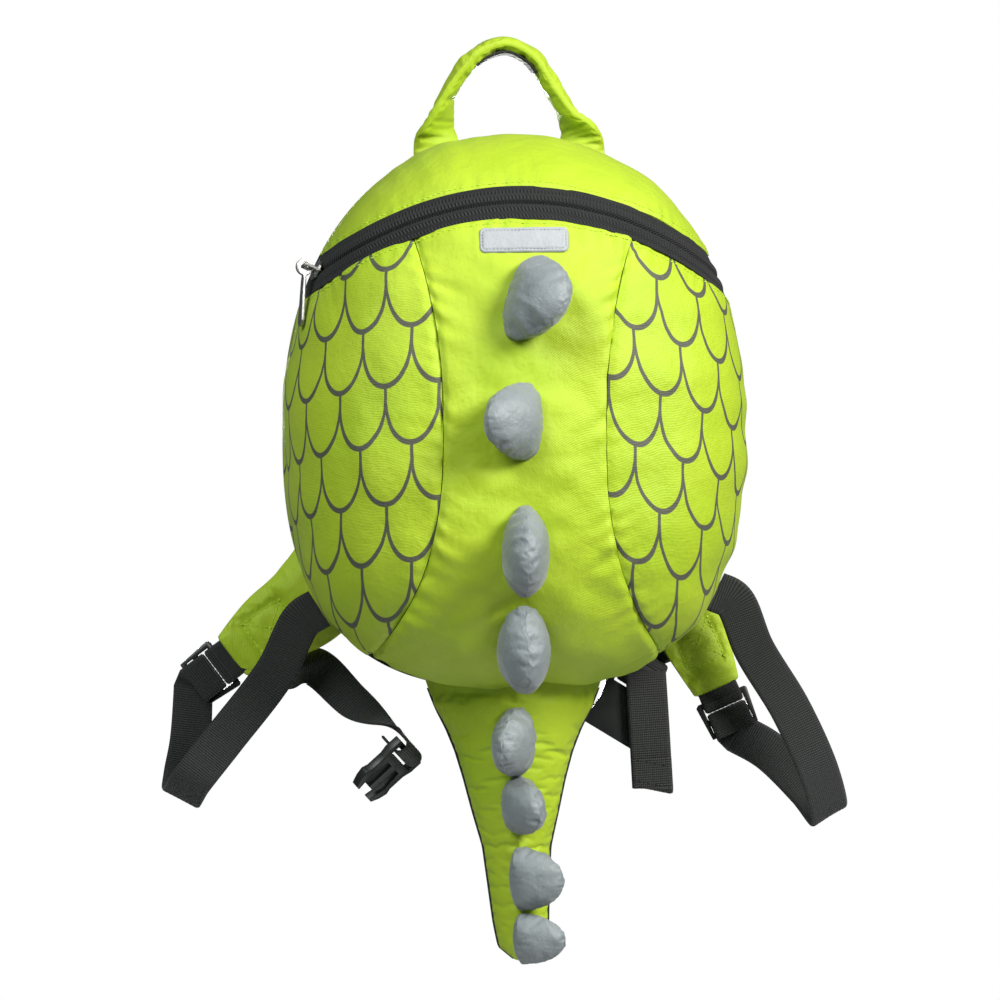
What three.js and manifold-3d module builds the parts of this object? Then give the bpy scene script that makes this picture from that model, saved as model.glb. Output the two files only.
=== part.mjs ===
// Kids dinosaur backpack: a domed toddler bag with a stuffed tail and a row of soft spikes.
// Millimetres, +Z up. The bag's front faces -Y and its left as seen from the front is -X.
// The origin is the point under the top of the grab handle where a hook carries the bag.
import * as THREE from 'three';
import { mergeVertices } from 'three/addons/utils/BufferGeometryUtils.js';
import Module from 'manifold-3d';

const wasm = await Module();
wasm.setup();

// Clearances
const GAP = 0.35;
const SLIT = 1.2;

// Bag body
const HANDLE_RISE = 39.4;
const HALF_WIDTH = 112;
const HEIGHT_ABOVE = 143;
const HEIGHT_BELOW = 125;
const DEPTH = 105;
const TOP_POWER = 2.2;
const BOTTOM_POWER = 2.6;
const DOME_POWER = 2.6;
const CLOTH = 2;
const BACK_THICKNESS = 6;
const BACK_EDGE = 2.2;

// Centre panel
const WAIST = 38.5;
const WAIST_DROP = 135.6;
const FLARE_UP = 13;
const FLARE_DOWN = 29;

// Zip
const ZIP_DROP = 36;
const ZIP_DROOP = 43;
const ZIP_WIDTH = 15;
const TAPE_THICKNESS = 1;
const TAPE_RECESS = 0.5;
const COIL_WIDTH = 5.2;
const COIL_THICKNESS = 2;

// Slider and pull
const SLIDER_LENGTH = 11;
const SLIDER_WIDTH = 8.5;
const SLIDER_PLATE = 1.5;
const SLIDER_INSET = 4.1;
const POST_THICKNESS = 0.5;
const POST_LENGTH = 6;
const BAIL_WIRE = 1.5;
const EYE_RADIUS = 4.2;
const EYE_HOLE = 2.5;
const EYE_OFFSET = 0.9;
const EYE_THICKNESS = 1.8;
const PULL_LENGTH = 30;
const PULL_WIDTH = 6;
const PULL_THICKNESS = 1.4;

// Label
const LABEL_WIDTH = 42;
const LABEL_HEIGHT = 12;
const LABEL_CORNER = 3;
const LABEL_THICKNESS = 1;
const LABEL_DROP = 54.8;

// Tail
const TAIL_LENGTH = 132;
const TAIL_HALF_WIDTH = 42;
const TAIL_RIDGE = 40;
const TAIL_SWING = 5;
const TAIL_BULGE = 0.1;
const TAIL_BACK_THICKNESS = 1.5;

// Spikes
const SPIKE_LENGTH = 44;
const SPIKE_HEIGHT = 27;
const SPIKE_THICKNESS = 19;
const SPIKE_ROOT = 8;

// Grab handle
const HANDLE_WIDTH = 22;
const HANDLE_THICKNESS = 5.5;
const HANDLE_HALF_SPAN = 37;
const HANDLE_TAB = 21;
const HANDLE_WEB_WIDTH = 18;

// Straps
const PAD_WIDTH = 45;
const PAD_END_WIDTH = 24;
const PAD_THICKNESS = 9;
const STRAP_BOW = 40;
const WEB_WIDTH = 20;
const WEB_THICKNESS = 1.5;
const LOOP_REACH = 26;

// Adjusters
const ADJUSTER_WIDTH = 27;
const ADJUSTER_THICKNESS = 3.5;
const BAR = 3;

// Chest buckle
const PLUG_LENGTH = 31;
const PLUG_THICKNESS = 4.4;
const SOCKET_LENGTH = 32;
const SOCKET_WIDTH = 28;
const SOCKET_THICKNESS = 8.4;
const SOCKET_WALL = 1.8;
const SOCKET_WAIST = 1.8;
const SOCKET_CAVITY = 19;

const topZ = -HANDLE_RISE;
const midZ = topZ - HEIGHT_ABOVE;
const bottomZ = midZ - HEIGHT_BELOW;
const bagHeight = HEIGHT_ABOVE + HEIGHT_BELOW;
const backY = GAP + BACK_THICKNESS;

const { lerp, degToRad } = THREE.MathUtils;
const vec = (x, y, z) => new THREE.Vector3(x, y, z);
const X_AXIS = vec(1, 0, 0);
const Y_AXIS = vec(0, 1, 0);

const material = (color, roughness, metalness = 0) =>
  new THREE.MeshStandardMaterial({ color, roughness, metalness });
const LIME = material(0xb4e132, 0.7);
const SPIKE_GREY = material(0xb6c0c1, 0.5);
const BLACK_CLOTH = material(0x2e3332, 0.85);
const BLACK_PLASTIC = material(0x1d1f20, 0.45);
const NICKEL = material(0xc9c9c6, 0.3, 1);

const bag = new THREE.Group();

function add(name, geometry, look) {
  const mesh = new THREE.Mesh(geometry, look);
  mesh.name = name;
  bag.add(mesh);
  return mesh;
}

// Closed meshes and booleans

function closed(points, faces) {
  let volume = 0;
  for (const [a, b, c] of faces) {
    volume += points[a].dot(points[b].clone().cross(points[c]));
  }
  const order = volume < 0 ? faces.map(([a, b, c]) => [a, c, b]) : faces;
  const geometry = new THREE.BufferGeometry().setFromPoints(points);
  geometry.setIndex(order.flat());
  return geometry;
}

function solid(geometry) {
  const bare = geometry.clone();
  bare.deleteAttribute('normal');
  bare.deleteAttribute('uv');
  const merged = mergeVertices(bare, 1e-4);
  return new wasm.Manifold(new wasm.Mesh({
    numProp: 3,
    vertProperties: Float32Array.from(merged.attributes.position.array),
    triVerts: Uint32Array.from(merged.index.array),
  }));
}

function geometryOf(manifold) {
  const { vertProperties, triVerts } = manifold.getMesh();
  const geometry = new THREE.BufferGeometry();
  geometry.setAttribute('position', new THREE.BufferAttribute(vertProperties, 3));
  geometry.setIndex(new THREE.BufferAttribute(triVerts, 1));
  return geometry;
}

function place(geometry, right, up, out, origin) {
  const frame = new THREE.Matrix4().makeBasis(right, up, out).setPosition(origin);
  return geometry.applyMatrix4(frame);
}

// The dome: a superellipse outline, closed in front by a surface of the same kind

function radius(x, z) {
  const above = z > midZ;
  const power = above ? TOP_POWER : BOTTOM_POWER;
  const height = above ? HEIGHT_ABOVE : HEIGHT_BELOW;
  return (Math.abs(x / HALF_WIDTH) ** power + Math.abs((z - midZ) / height) ** power) ** (1 / power);
}

function domeNormal(x, z, depthShare) {
  const above = z > midZ;
  const power = above ? TOP_POWER : BOTTOM_POWER;
  const height = above ? HEIGHT_ABOVE : HEIGHT_BELOW;
  const pull = radius(x, z) ** (DOME_POWER - power);
  const slope = (value, size) => pull * Math.sign(value) * Math.abs(value / size) ** (power - 1) / size;
  return vec(slope(x, HALF_WIDTH), -(depthShare ** (DOME_POWER - 1)) / DEPTH, slope(z - midZ, height))
    .normalize();
}

function dome({ x, z }, lift = 0) {
  const share = (1 - Math.min(1, radius(x, z)) ** DOME_POWER) ** (1 / DOME_POWER);
  return vec(x, -DEPTH * share, z).addScaledVector(domeNormal(x, z, share), lift);
}

function solve(low, high, positive) {
  for (let i = 0; i < 50; i += 1) {
    const middle = (low + high) / 2;
    if (positive(middle)) {
      high = middle;
    } else {
      low = middle;
    }
  }
  return (low + high) / 2;
}

// Points of a path over the dome, spaced evenly along the cloth
function evenly(path, count) {
  const steps = 400;
  const at = [...Array(steps + 1).keys()].map((i) => (1 - Math.cos(Math.PI * i / steps)) / 2);
  const length = [0];
  for (let i = 1; i <= steps; i += 1) {
    length.push(length[i - 1] + dome(path(at[i])).distanceTo(dome(path(at[i - 1]))));
  }
  return [...Array(count + 1).keys()].map((k) => {
    const target = length[steps] * k / count;
    const i = Math.max(1, length.findIndex((value) => value >= target - 1e-9));
    const share = (target - length[i - 1]) / Math.max(1e-9, length[i] - length[i - 1]);
    return path(lerp(at[i - 1], at[i], k === count ? 1 : share));
  });
}

// A sheet of cloth over a grid of front-view places, between two lifts from the dome
function sheet(rows, outer, inner) {
  return plate(rows.map((row) => row.map((spot) => dome(spot, outer))),
    rows.map((row) => row.map((spot) => dome(spot, inner))));
}

function plate(front, back) {
  const down = front.length;
  const across = front[0].length;
  const points = [...front.flat(), ...back.flat()];
  const half = down * across;
  const faces = [];
  const quad = (a, b, c, d) => faces.push([a, b, c], [a, c, d]);
  for (let r = 0; r < down - 1; r += 1) {
    for (let c = 0; c < across - 1; c += 1) {
      const a = r * across + c;
      quad(a, a + 1, a + 1 + across, a + across);
      quad(half + a, half + a + across, half + a + across + 1, half + a + 1);
    }
  }
  const rim = [];
  for (let c = 0; c < across - 1; c += 1) rim.push(c);
  for (let r = 0; r < down - 1; r += 1) rim.push(r * across + across - 1);
  for (let c = across - 1; c > 0; c -= 1) rim.push((down - 1) * across + c);
  for (let r = down - 1; r > 0; r -= 1) rim.push(r * across);
  rim.forEach((a, i) => {
    const b = rim[(i + 1) % rim.length];
    quad(b, a, half + a, half + b);
  });
  return closed(points, faces);
}

// Seams in front view

const waistZ = topZ - WAIST_DROP;

function seamX(z) {
  const rise = (z - waistZ) / (WAIST_DROP - LABEL_DROP);
  const fall = (waistZ - z) / (waistZ - bottomZ - WAIST / 2);
  return WAIST + (z > waistZ ? FLARE_UP * rise ** 2 : FLARE_DOWN * fall ** 3);
}

const zipZ = (x) => topZ - ZIP_DROP - ZIP_DROOP * (x / HALF_WIDTH) ** 2;
const zipEnd = (offset) => solve(HALF_WIDTH / 2, HALF_WIDTH, (x) => radius(x, zipZ(x) + offset) > 1);

function outline(angle) {
  const power = angle > 0 ? TOP_POWER : BOTTOM_POWER;
  const height = angle > 0 ? HEIGHT_ABOVE : HEIGHT_BELOW;
  const round = (value) => Math.sign(value) * Math.abs(value) ** (2 / power);
  return { x: HALF_WIDTH * round(Math.cos(angle)), z: midZ + height * round(Math.sin(angle)) };
}

const outlineAngle = (z) => solve(-Math.PI / 2, Math.PI / 2, (angle) => outline(angle).z > z);

// Cloth panels of the dome

const SEAM_ROWS = 18;
const FRONT_COLUMNS = 10;
const SIDE_COLUMNS = 9;
const ZIP_COLUMNS = 26;
const CROWN_ROWS = 7;
const TIP = 0.1;

const zipLow = -ZIP_WIDTH / 2 - GAP / 2;
const zipHigh = ZIP_WIDTH / 2 + GAP / 2;

function frontColumn(share) {
  const spot = (z) => ({ x: share * (seamX(z) - GAP / 2), z });
  const low = solve(bottomZ, waistZ, (z) => radius(spot(z).x, z) < 1);
  const high = solve(waistZ, topZ, (z) => z > zipZ(spot(z).x) + zipLow);
  return evenly((q) => spot(lerp(low, high, q)), SEAM_ROWS);
}

const frontColumns = [...Array(FRONT_COLUMNS + 1).keys()].map((i) => frontColumn(2 * i / FRONT_COLUMNS - 1));
const frontRows = frontColumns[0].map((_, r) => frontColumns.map((column) => column[r]));
add('front_panel', sheet(frontRows, 0, -CLOTH), LIME);

function sideRows(side) {
  const seam = frontColumns[FRONT_COLUMNS].map(({ z }) => ({ x: seamX(z) + GAP / 2, z }));
  seam[0] = { x: lerp(seam[0].x, seam[1].x, TIP), z: lerp(seam[0].z, seam[1].z, TIP) };
  const corner = outlineAngle(frontColumns[FRONT_COLUMNS][0].z);
  const endX = zipEnd(zipLow);
  const end = outlineAngle(zipZ(endX) + zipLow);
  const first = lerp(corner, end, TIP / SEAM_ROWS);
  const edge = evenly((q) => outline(lerp(first, end, q)), SEAM_ROWS);
  const from = seam[SEAM_ROWS];
  return seam.map((start, r) => {
    const weight = (r / SEAM_ROWS) ** 3;
    const stop = edge[r];
    return evenly((q) => {
      const x = lerp(from.x, endX, q);
      const arch = zipZ(x) - lerp(zipZ(from.x), zipZ(endX), q);
      return { x: lerp(start.x, stop.x, q), z: lerp(start.z, stop.z, q) + weight * arch };
    }, SIDE_COLUMNS).map((spot) => ({ x: side * spot.x, z: spot.z }));
  });
}

add('side_panel_left', sheet(sideRows(-1), 0, -CLOTH), LIME);
add('side_panel_right', sheet(sideRows(1), 0, -CLOTH), LIME);

function alongZip(offset, count, from = 0, to = 1) {
  const end = zipEnd(offset);
  return evenly((q) => {
    const x = lerp(-end, end, lerp(from, to, q));
    return { x, z: zipZ(x) + offset };
  }, count);
}

function crownRows() {
  const inset = TIP / ZIP_COLUMNS;
  const low = alongZip(zipHigh, ZIP_COLUMNS, inset, 1 - inset);
  const corner = outlineAngle(zipZ(zipEnd(zipHigh)) + zipHigh);
  const high = evenly((q) => outline(lerp(Math.PI - corner, corner, lerp(inset, 1 - inset, q))), ZIP_COLUMNS);
  const columns = low.map((start, i) => evenly((q) => ({
    x: lerp(start.x, high[i].x, q),
    z: lerp(start.z, high[i].z, q),
  }), CROWN_ROWS));
  return columns[0].map((_, r) => columns.map((column) => column[r]));
}

add('top_panel', sheet(crownRows(), 0, -CLOTH), LIME);

function zipStrip(low, high, columns, from, outer, inner) {
  return sheet([alongZip(low, columns, from), alongZip(high, columns, from)], outer, inner);
}

const tapeInner = -TAPE_RECESS - TAPE_THICKNESS;
const coilOuter = tapeInner - GAP;
const sliderReach = zipEnd(0) - SLIDER_INSET;
const coilStart = 0.5 - (sliderReach - SLIDER_LENGTH) / (2 * zipEnd(0));
add('zip_tape_lower', zipStrip(-ZIP_WIDTH / 2 + GAP / 2, -SLIT / 2, ZIP_COLUMNS, 0, -TAPE_RECESS, tapeInner),
  BLACK_CLOTH);
add('zip_tape_upper', zipStrip(SLIT / 2, ZIP_WIDTH / 2 - GAP / 2, ZIP_COLUMNS, 0, -TAPE_RECESS, tapeInner),
  BLACK_CLOTH);
add('zip_coil', zipStrip(-COIL_WIDTH / 2, COIL_WIDTH / 2, ZIP_COLUMNS, coilStart, coilOuter,
  coilOuter - COIL_THICKNESS), BLACK_PLASTIC);

// Back panel: the outline as a flat pad with a softened rear edge

function backPanel() {
  const sides = 60;
  const rings = [[GAP, 0], [backY - BACK_EDGE, 0], [backY, BACK_EDGE]].map(([y, inset]) =>
    [...Array(sides).keys()].map((i) => {
      const { x, z } = outline(Math.asin(Math.sin(2 * Math.PI * i / sides)));
      const flip = Math.cos(2 * Math.PI * i / sides) < 0 ? -1 : 1;
      return vec(flip * x * (1 - inset / HALF_WIDTH), y, midZ + (z - midZ) * (1 - inset / HEIGHT_BELOW));
    }));
  return loft(rings);
}

// A loft through rings of as many points each, capped at both ends
function loft(rings) {
  const count = rings[0].length;
  const middle = (ring) => ring.reduce((sum, point) => sum.add(point), vec(0, 0, 0)).divideScalar(count);
  const points = rings.flat();
  const last = (rings.length - 1) * count;
  points.push(middle(rings[0]), middle(rings[rings.length - 1]));
  const faces = [];
  for (let i = 0; i < count; i += 1) {
    const next = (i + 1) % count;
    for (let r = 0; r < last; r += count) {
      faces.push([r + i, r + next, r + count + next], [r + i, r + count + next, r + count + i]);
    }
    faces.push([next, i, points.length - 2], [last + i, last + next, points.length - 1]);
  }
  return closed(points, faces);
}

add('back_panel', backPanel(), BLACK_CLOTH);

// Label, bent to the dome under the zip

function labelRows() {
  const halfHeight = LABEL_HEIGHT / 2;
  const heights = [-1, -0.72, -0.5, 0.5, 0.72, 1].map((share) => share * halfHeight);
  return heights.map((height) => {
    const into = Math.max(0, Math.abs(height) - halfHeight + LABEL_CORNER);
    const half = LABEL_WIDTH / 2 - LABEL_CORNER + Math.sqrt(LABEL_CORNER ** 2 - into ** 2);
    return evenly((q) => ({ x: lerp(-half, half, q), z: topZ - LABEL_DROP + height }), 8);
  });
}

add('label', sheet(labelRows(), GAP + LABEL_THICKNESS, GAP), SPIKE_GREY);

// Tail: three-sided, flat at the back, with its ridge in front. Shares of the tail's sizes.

const tailTable = [
  { down: -0.06, half: 1.06, ridge: 1.04 },
  { down: 0, half: 1, ridge: 1 },
  { down: 0.08, half: 0.89, ridge: 0.92 },
  { down: 0.15, half: 0.77, ridge: 0.84 },
  { down: 0.23, half: 0.67, ridge: 0.77 },
  { down: 0.33, half: 0.58, ridge: 0.69 },
  { down: 0.45, half: 0.49, ridge: 0.6 },
  { down: 0.58, half: 0.385, ridge: 0.51 },
  { down: 0.72, half: 0.345, ridge: 0.44 },
  { down: 0.86, half: 0.31, ridge: 0.38 },
  { down: 0.95, half: 0.27, ridge: 0.33 },
  { down: 1, half: 0.09, ridge: 0.17 },
];
const TAIL_FACET = 4;

const tailZ = (down) => bottomZ - down * TAIL_LENGTH;
const tailX = (down) => TAIL_SWING * Math.max(0, down) ** 2;

function tailRow(down) {
  const i = Math.min(tailTable.length - 2, Math.max(0, tailTable.findIndex((row) => row.down > down) - 1));
  const low = tailTable[i];
  const high = tailTable[i + 1];
  const share = (down - low.down) / (high.down - low.down);
  return { half: lerp(low.half, high.half, share), ridge: lerp(low.ridge, high.ridge, share) };
}

function ridgePoint(down) {
  return vec(tailX(down), -TAIL_RIDGE * tailRow(down).ridge, tailZ(down));
}

function tailSolid(grow) {
  return loft(tailTable.map(({ down, half, ridge }) => {
    const wide = TAIL_HALF_WIDTH * half + grow;
    const deep = TAIL_RIDGE * ridge + grow;
    const x = tailX(down);
    const z = tailZ(down) - (down === 1 ? grow : 0);
    const left = vec(x - wide, -GAP, z);
    const front = vec(x, -deep, z);
    const right = vec(x + wide, -GAP, z);
    const facet = (from, to, side) => [...Array(TAIL_FACET).keys()].map((k) => {
      const share = k / TAIL_FACET;
      const bulge = 4 * share * (1 - share) * TAIL_BULGE;
      const out = vec(side * deep, -wide, 0).multiplyScalar(bulge);
      return from.clone().lerp(to, share).add(out);
    });
    return [...facet(left, front, -1), ...facet(front, right, 1), right, vec(x, -GAP, z)];
  }));
}

const frontTool = solid(sheet(frontRows, GAP, -2 * SPIKE_ROOT));
const tailTool = solid(tailSolid(1.6 * GAP));
add('tail', geometryOf(solid(tailSolid(0)).subtract(frontTool)), LIME);

function tailBack() {
  const columns = 6;
  const rows = tailTable.slice(1).map(({ down, half }) => [...Array(columns + 1).keys()].map((i) => {
    const x = tailX(down) + TAIL_HALF_WIDTH * half * (2 * i / columns - 1);
    const rim = solve(bottomZ, midZ, (z) => radius(x, z) < 1);
    return { x, z: down === 0 ? rim - GAP : tailZ(down) };
  }));
  const at = (y) => rows.map((row) => row.map(({ x, z }) => vec(x, y, z)));
  return plate(at(0), at(TAIL_BACK_THICKNESS));
}

add('tail_back', tailBack(), BLACK_CLOTH);

// Spikes: stuffed pods with a sharp crest, cut to what carries them.
// Shares of the spike sizes, of the bag's height below its top or of the tail's length; degrees.

const spikeTable = [
  { on: 'bag', down: 0.308, length: 0.95, height: 1.15, thick: 1.05, lean: 36, turn: 18 },
  { on: 'bag', down: 0.522, length: 0.82, height: 1.05, thick: 1, lean: -42, turn: 0 },
  { on: 'bag', down: 0.746, length: 0.98, height: 1.05, thick: 0.98, lean: 0, turn: 0 },
  { on: 'bag', down: 0.905, length: 1, height: 1.05, thick: 1.15, lean: 4, turn: 0 },
  { on: 'tail', down: 0.18, length: 0.76, height: 0.85, thick: 0.95, lean: -22, turn: 0 },
  { on: 'tail', down: 0.415, length: 0.64, height: 0.85, thick: 0.9, lean: 24, turn: 0 },
  { on: 'tail', down: 0.69, length: 0.7, height: 0.85, thick: 0.8, lean: 62, turn: 0 },
  { on: 'tail', down: 0.912, length: 0.57, height: 0.8, thick: 0.74, lean: 66, turn: 0 },
];
const CREST = 1.35;
const STEP = 0.01;

function spikeBase({ on, down }) {
  if (on === 'tail') {
    const along = ridgePoint(down + STEP).sub(ridgePoint(down - STEP)).normalize();
    return { base: ridgePoint(down), along, out: along.clone().cross(X_AXIS).normalize().negate() };
  }
  const z = topZ - down * bagHeight;
  const base = dome({ x: 0, z });
  const out = dome({ x: 0, z }, 1).sub(base);
  return { base, along: out.clone().cross(X_AXIS).normalize(), out };
}

function spike(row) {
  const { base, along, out } = spikeBase(row);
  if (along.z < 0) along.negate();
  if (out.y > 0) out.negate();
  along.applyAxisAngle(out, degToRad(-row.turn));
  const crest = out.clone().applyAxisAngle(along, degToRad(row.lean));
  const thick = along.clone().cross(crest);
  const pod = new THREE.SphereGeometry(1, 12, 8);
  const places = pod.attributes.position;
  for (let i = 0; i < places.count; i += 1) {
    const unit = vec().fromBufferAttribute(places, i);
    const high = unit.z > 0 ? unit.z * SPIKE_HEIGHT * row.height : unit.z * SPIKE_ROOT;
    const power = unit.z > 0 ? CREST : 1;
    const side = Math.sign(unit.x) * Math.abs(unit.x) ** power * SPIKE_THICKNESS * row.thick / 2;
    const spot = base.clone()
      .addScaledVector(along, unit.y * SPIKE_LENGTH * row.length / 2)
      .addScaledVector(crest, high)
      .addScaledVector(thick, side);
    places.setXYZ(i, spot.x, spot.y, spot.z);
  }
  return geometryOf(largest(solid(pod).subtract(frontTool).subtract(tailTool)));
}

function largest(manifold) {
  return manifold.decompose().sort((a, b) => b.volume() - a.volume())[0];
}

spikeTable.forEach((row, i) => add(`spike_${i + 1}`, spike(row), SPIKE_GREY));

// Bands: a section carried along stations, each with its place and its width direction

function stations(rows, count) {
  const places = new THREE.CatmullRomCurve3(rows.map(({ p }) => p));
  const widths = new THREE.CatmullRomCurve3(rows.map(({ w }) => w));
  return [...Array(count + 1).keys()].map((i) => ({
    p: places.getPoint(i / count),
    w: widths.getPoint(i / count).normalize(),
    share: i / count,
  }));
}

function band(list, section) {
  return loft(list.map(({ p, w, share }, i) => {
    const before = list[Math.max(0, i - 1)].p;
    const after = list[Math.min(list.length - 1, i + 1)].p;
    const along = after.clone().sub(before).normalize();
    const wide = w.clone().addScaledVector(along, -w.dot(along)).normalize();
    const out = along.cross(wide);
    return section(share).map(([a, b]) => p.clone().addScaledVector(wide, a).addScaledVector(out, b));
  }));
}

const flat = (width, thickness) => {
  const a = width / 2;
  const b = thickness / 2;
  return [[-a, -b], [a, -b], [a, b], [-a, b]];
};

function stadium(width, thickness) {
  const r = thickness / 2;
  const points = [];
  for (const side of [1, -1]) {
    for (let k = 0; k < 5; k += 1) {
      const angle = Math.PI * (k / 4 - 0.5);
      points.push([side * (width / 2 - r + r * Math.cos(angle)), side * r * Math.sin(angle)]);
    }
  }
  return points;
}

// Half a turn round a bar, from one side of it through another
function turn(centre, from, through, turnRadius, w, steps = 6) {
  return [...Array(steps + 1).keys()].map((i) => {
    const angle = Math.PI * i / steps;
    const p = centre.clone()
      .addScaledVector(from, turnRadius * Math.cos(angle))
      .addScaledVector(through, turnRadius * Math.sin(angle));
    return { p, w };
  });
}

// Grab handle: sewn flat to the back, turned edge-on over its arch. Shares of half span and rise.

const handleY = backY + 3 * GAP + HANDLE_THICKNESS / 2;
const handleTop = WEB_THICKNESS + GAP + HANDLE_THICKNESS / 2 + GAP;
const handleTable = [
  { across: -1, up: -0.25, twist: 0 },
  { across: -1, up: -0.1, twist: 0 },
  { across: -1, up: 0.06, twist: 0 },
  { across: -0.97, up: 0.24, twist: 50 },
  { across: -0.87, up: 0.5, twist: 80 },
  { across: -0.67, up: 0.76, twist: 90 },
  { across: -0.42, up: 0.93, twist: 90 },
  { across: -0.08, up: 1, twist: 90 },
  { across: 0.26, up: 0.88, twist: 90 },
  { across: 0.5, up: 0.62, twist: 92 },
  { across: 0.72, up: 0.36, twist: 105 },
  { across: 0.87, up: 0.2, twist: 138 },
  { across: 0.92, up: 0.04, twist: 180 },
  { across: 0.93, up: -0.1, twist: 180 },
  { across: 0.93, up: -0.25, twist: 180 },
];

function handleStations() {
  const foot = topZ - HANDLE_TAB / 3;
  return stations(handleTable.map(({ across, up, twist }) => ({
    p: vec(across * HANDLE_HALF_SPAN, handleY * (1 - Math.max(0, up - 0.1)), lerp(foot, handleTop, up)),
    w: vec(Math.cos(degToRad(twist)), Math.sin(degToRad(twist)), 0),
  })), 32);
}

const handlePath = handleStations();
add('grab_handle', band(handlePath, () => stadium(HANDLE_WIDTH, HANDLE_THICKNESS)), LIME);

function handleWebbing() {
  const inside = HANDLE_THICKNESS / 2 + GAP + WEB_THICKNESS / 2;
  const middle = handlePath.slice(13, 20).map((station, i, list) => {
    const before = list[Math.max(0, i - 1)].p;
    const after = list[Math.min(list.length - 1, i + 1)].p;
    const out = after.clone().sub(before).normalize().cross(station.w);
    return { p: station.p.clone().addScaledVector(out, -inside), w: station.w };
  });
  return band(middle, () => flat(HANDLE_WEB_WIDTH, WEB_THICKNESS));
}

add('handle_webbing', handleWebbing(), BLACK_CLOTH);

// Shoulder straps. Shares of the half width, of the bow behind the back and of the bag's height.

const padTables = {
  left: [
    { across: -0.34, out: 0, down: 0.1 },
    { across: -0.365, out: 0.3, down: 0.2 },
    { across: -0.41, out: 0.8, down: 0.33 },
    { across: -0.465, out: 1, down: 0.47 },
    { across: -0.56, out: 0.82, down: 0.62 },
    { across: -0.71, out: 0.52, down: 0.75 },
    { across: -0.88, out: 0.33, down: 0.845 },
    { across: -1.06, out: 0.3, down: 0.895 },
    { across: -1.22, out: 0.29, down: 0.945 },
  ],
  right: [
    { across: 0.34, out: 0, down: 0.1 },
    { across: 0.365, out: 0.3, down: 0.2 },
    { across: 0.41, out: 0.8, down: 0.33 },
    { across: 0.46, out: 1, down: 0.47 },
    { across: 0.545, out: 0.9, down: 0.62 },
    { across: 0.66, out: 0.68, down: 0.76 },
    { across: 0.77, out: 0.5, down: 0.87 },
    { across: 0.91, out: 0.4, down: 1.005 },
  ],
};

const padY = backY + GAP + PAD_THICKNESS / 2;

function padStations(table) {
  const spots = table.map(({ across, out, down }) =>
    vec(across * HALF_WIDTH, padY + out * STRAP_BOW, topZ - down * bagHeight));
  const curve = new THREE.CatmullRomCurve3(spots);
  return stations(spots.map((p, i) => {
    const along = curve.getTangent(i / (spots.length - 1));
    return { p, w: vec(-along.z, 0, along.x).normalize() };
  }), 18);
}

function padWidth(share) {
  const taper = Math.min(1, Math.max(0, (share - 0.72) / 0.28));
  return lerp(PAD_WIDTH, PAD_END_WIDTH, taper ** 1.5);
}

// Adjuster at the end of a strap: its frame, loop, plate and the bars that the webbing wraps

const wrapRadius = (thickness) => 1.03 * Math.hypot(thickness / 2, BAR / 2) + GAP + WEB_THICKNESS / 2;
const adjusterWrap = wrapRadius(ADJUSTER_THICKNESS);
const barPitch = 2 * (adjusterWrap + WEB_THICKNESS / 2) + GAP;
const loopDrop = GAP + adjusterWrap + BAR / 2;

function adjusterFrame(pad) {
  const end = pad[pad.length - 1];
  const along = end.p.clone().sub(pad[pad.length - 2].p).normalize();
  const w = end.w.clone().addScaledVector(along, -end.w.dot(along)).normalize();
  const out = along.clone().cross(w);
  if (out.y < 0) out.negate();
  const top = end.p.clone().addScaledVector(along, loopDrop);
  return { end: end.p, along, w, out, top, middle: top.clone().addScaledVector(along, barPitch) };
}

function adjusterPlate({ along, w, top }) {
  const height = BAR + barPitch + BAR + 2 * GAP + BAR;
  const slot = ADJUSTER_WIDTH - 2 * BAR;
  const shape = new THREE.Shape();
  const half = ADJUSTER_WIDTH / 2;
  shape.moveTo(BAR / 3 - half, -BAR / 2).lineTo(half - BAR / 3, -BAR / 2).lineTo(half, -BAR / 6);
  shape.lineTo(half - BAR / 2, height - BAR / 2).lineTo(BAR / 2 - half, height - BAR / 2).lineTo(-half, -BAR / 6);
  shape.closePath();
  for (const [low, high] of [[BAR / 2, barPitch - BAR / 2], [barPitch + BAR / 2, height - 1.5 * BAR]]) {
    const hole = new THREE.Path();
    hole.moveTo(-slot / 2, low).lineTo(slot / 2, low).lineTo(slot / 2, high).lineTo(-slot / 2, high).closePath();
    shape.holes.push(hole);
  }
  const plateGeometry = new THREE.ExtrudeGeometry(shape, { depth: ADJUSTER_THICKNESS, bevelEnabled: false });
  plateGeometry.translate(0, 0, -ADJUSTER_THICKNESS / 2);
  return place(plateGeometry, w, along, w.clone().cross(along), top);
}

function adjusterLoop({ end, along, w, out, top }) {
  const start = end.clone().addScaledVector(along, GAP);
  return [
    { p: start.clone().addScaledVector(out, adjusterWrap), w },
    ...turn(top, out, along, adjusterWrap, w),
    { p: start.clone().addScaledVector(out, -adjusterWrap), w },
  ];
}

// Lower webbing: from the side seam down, round a free bend and up behind to the adjuster

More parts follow.
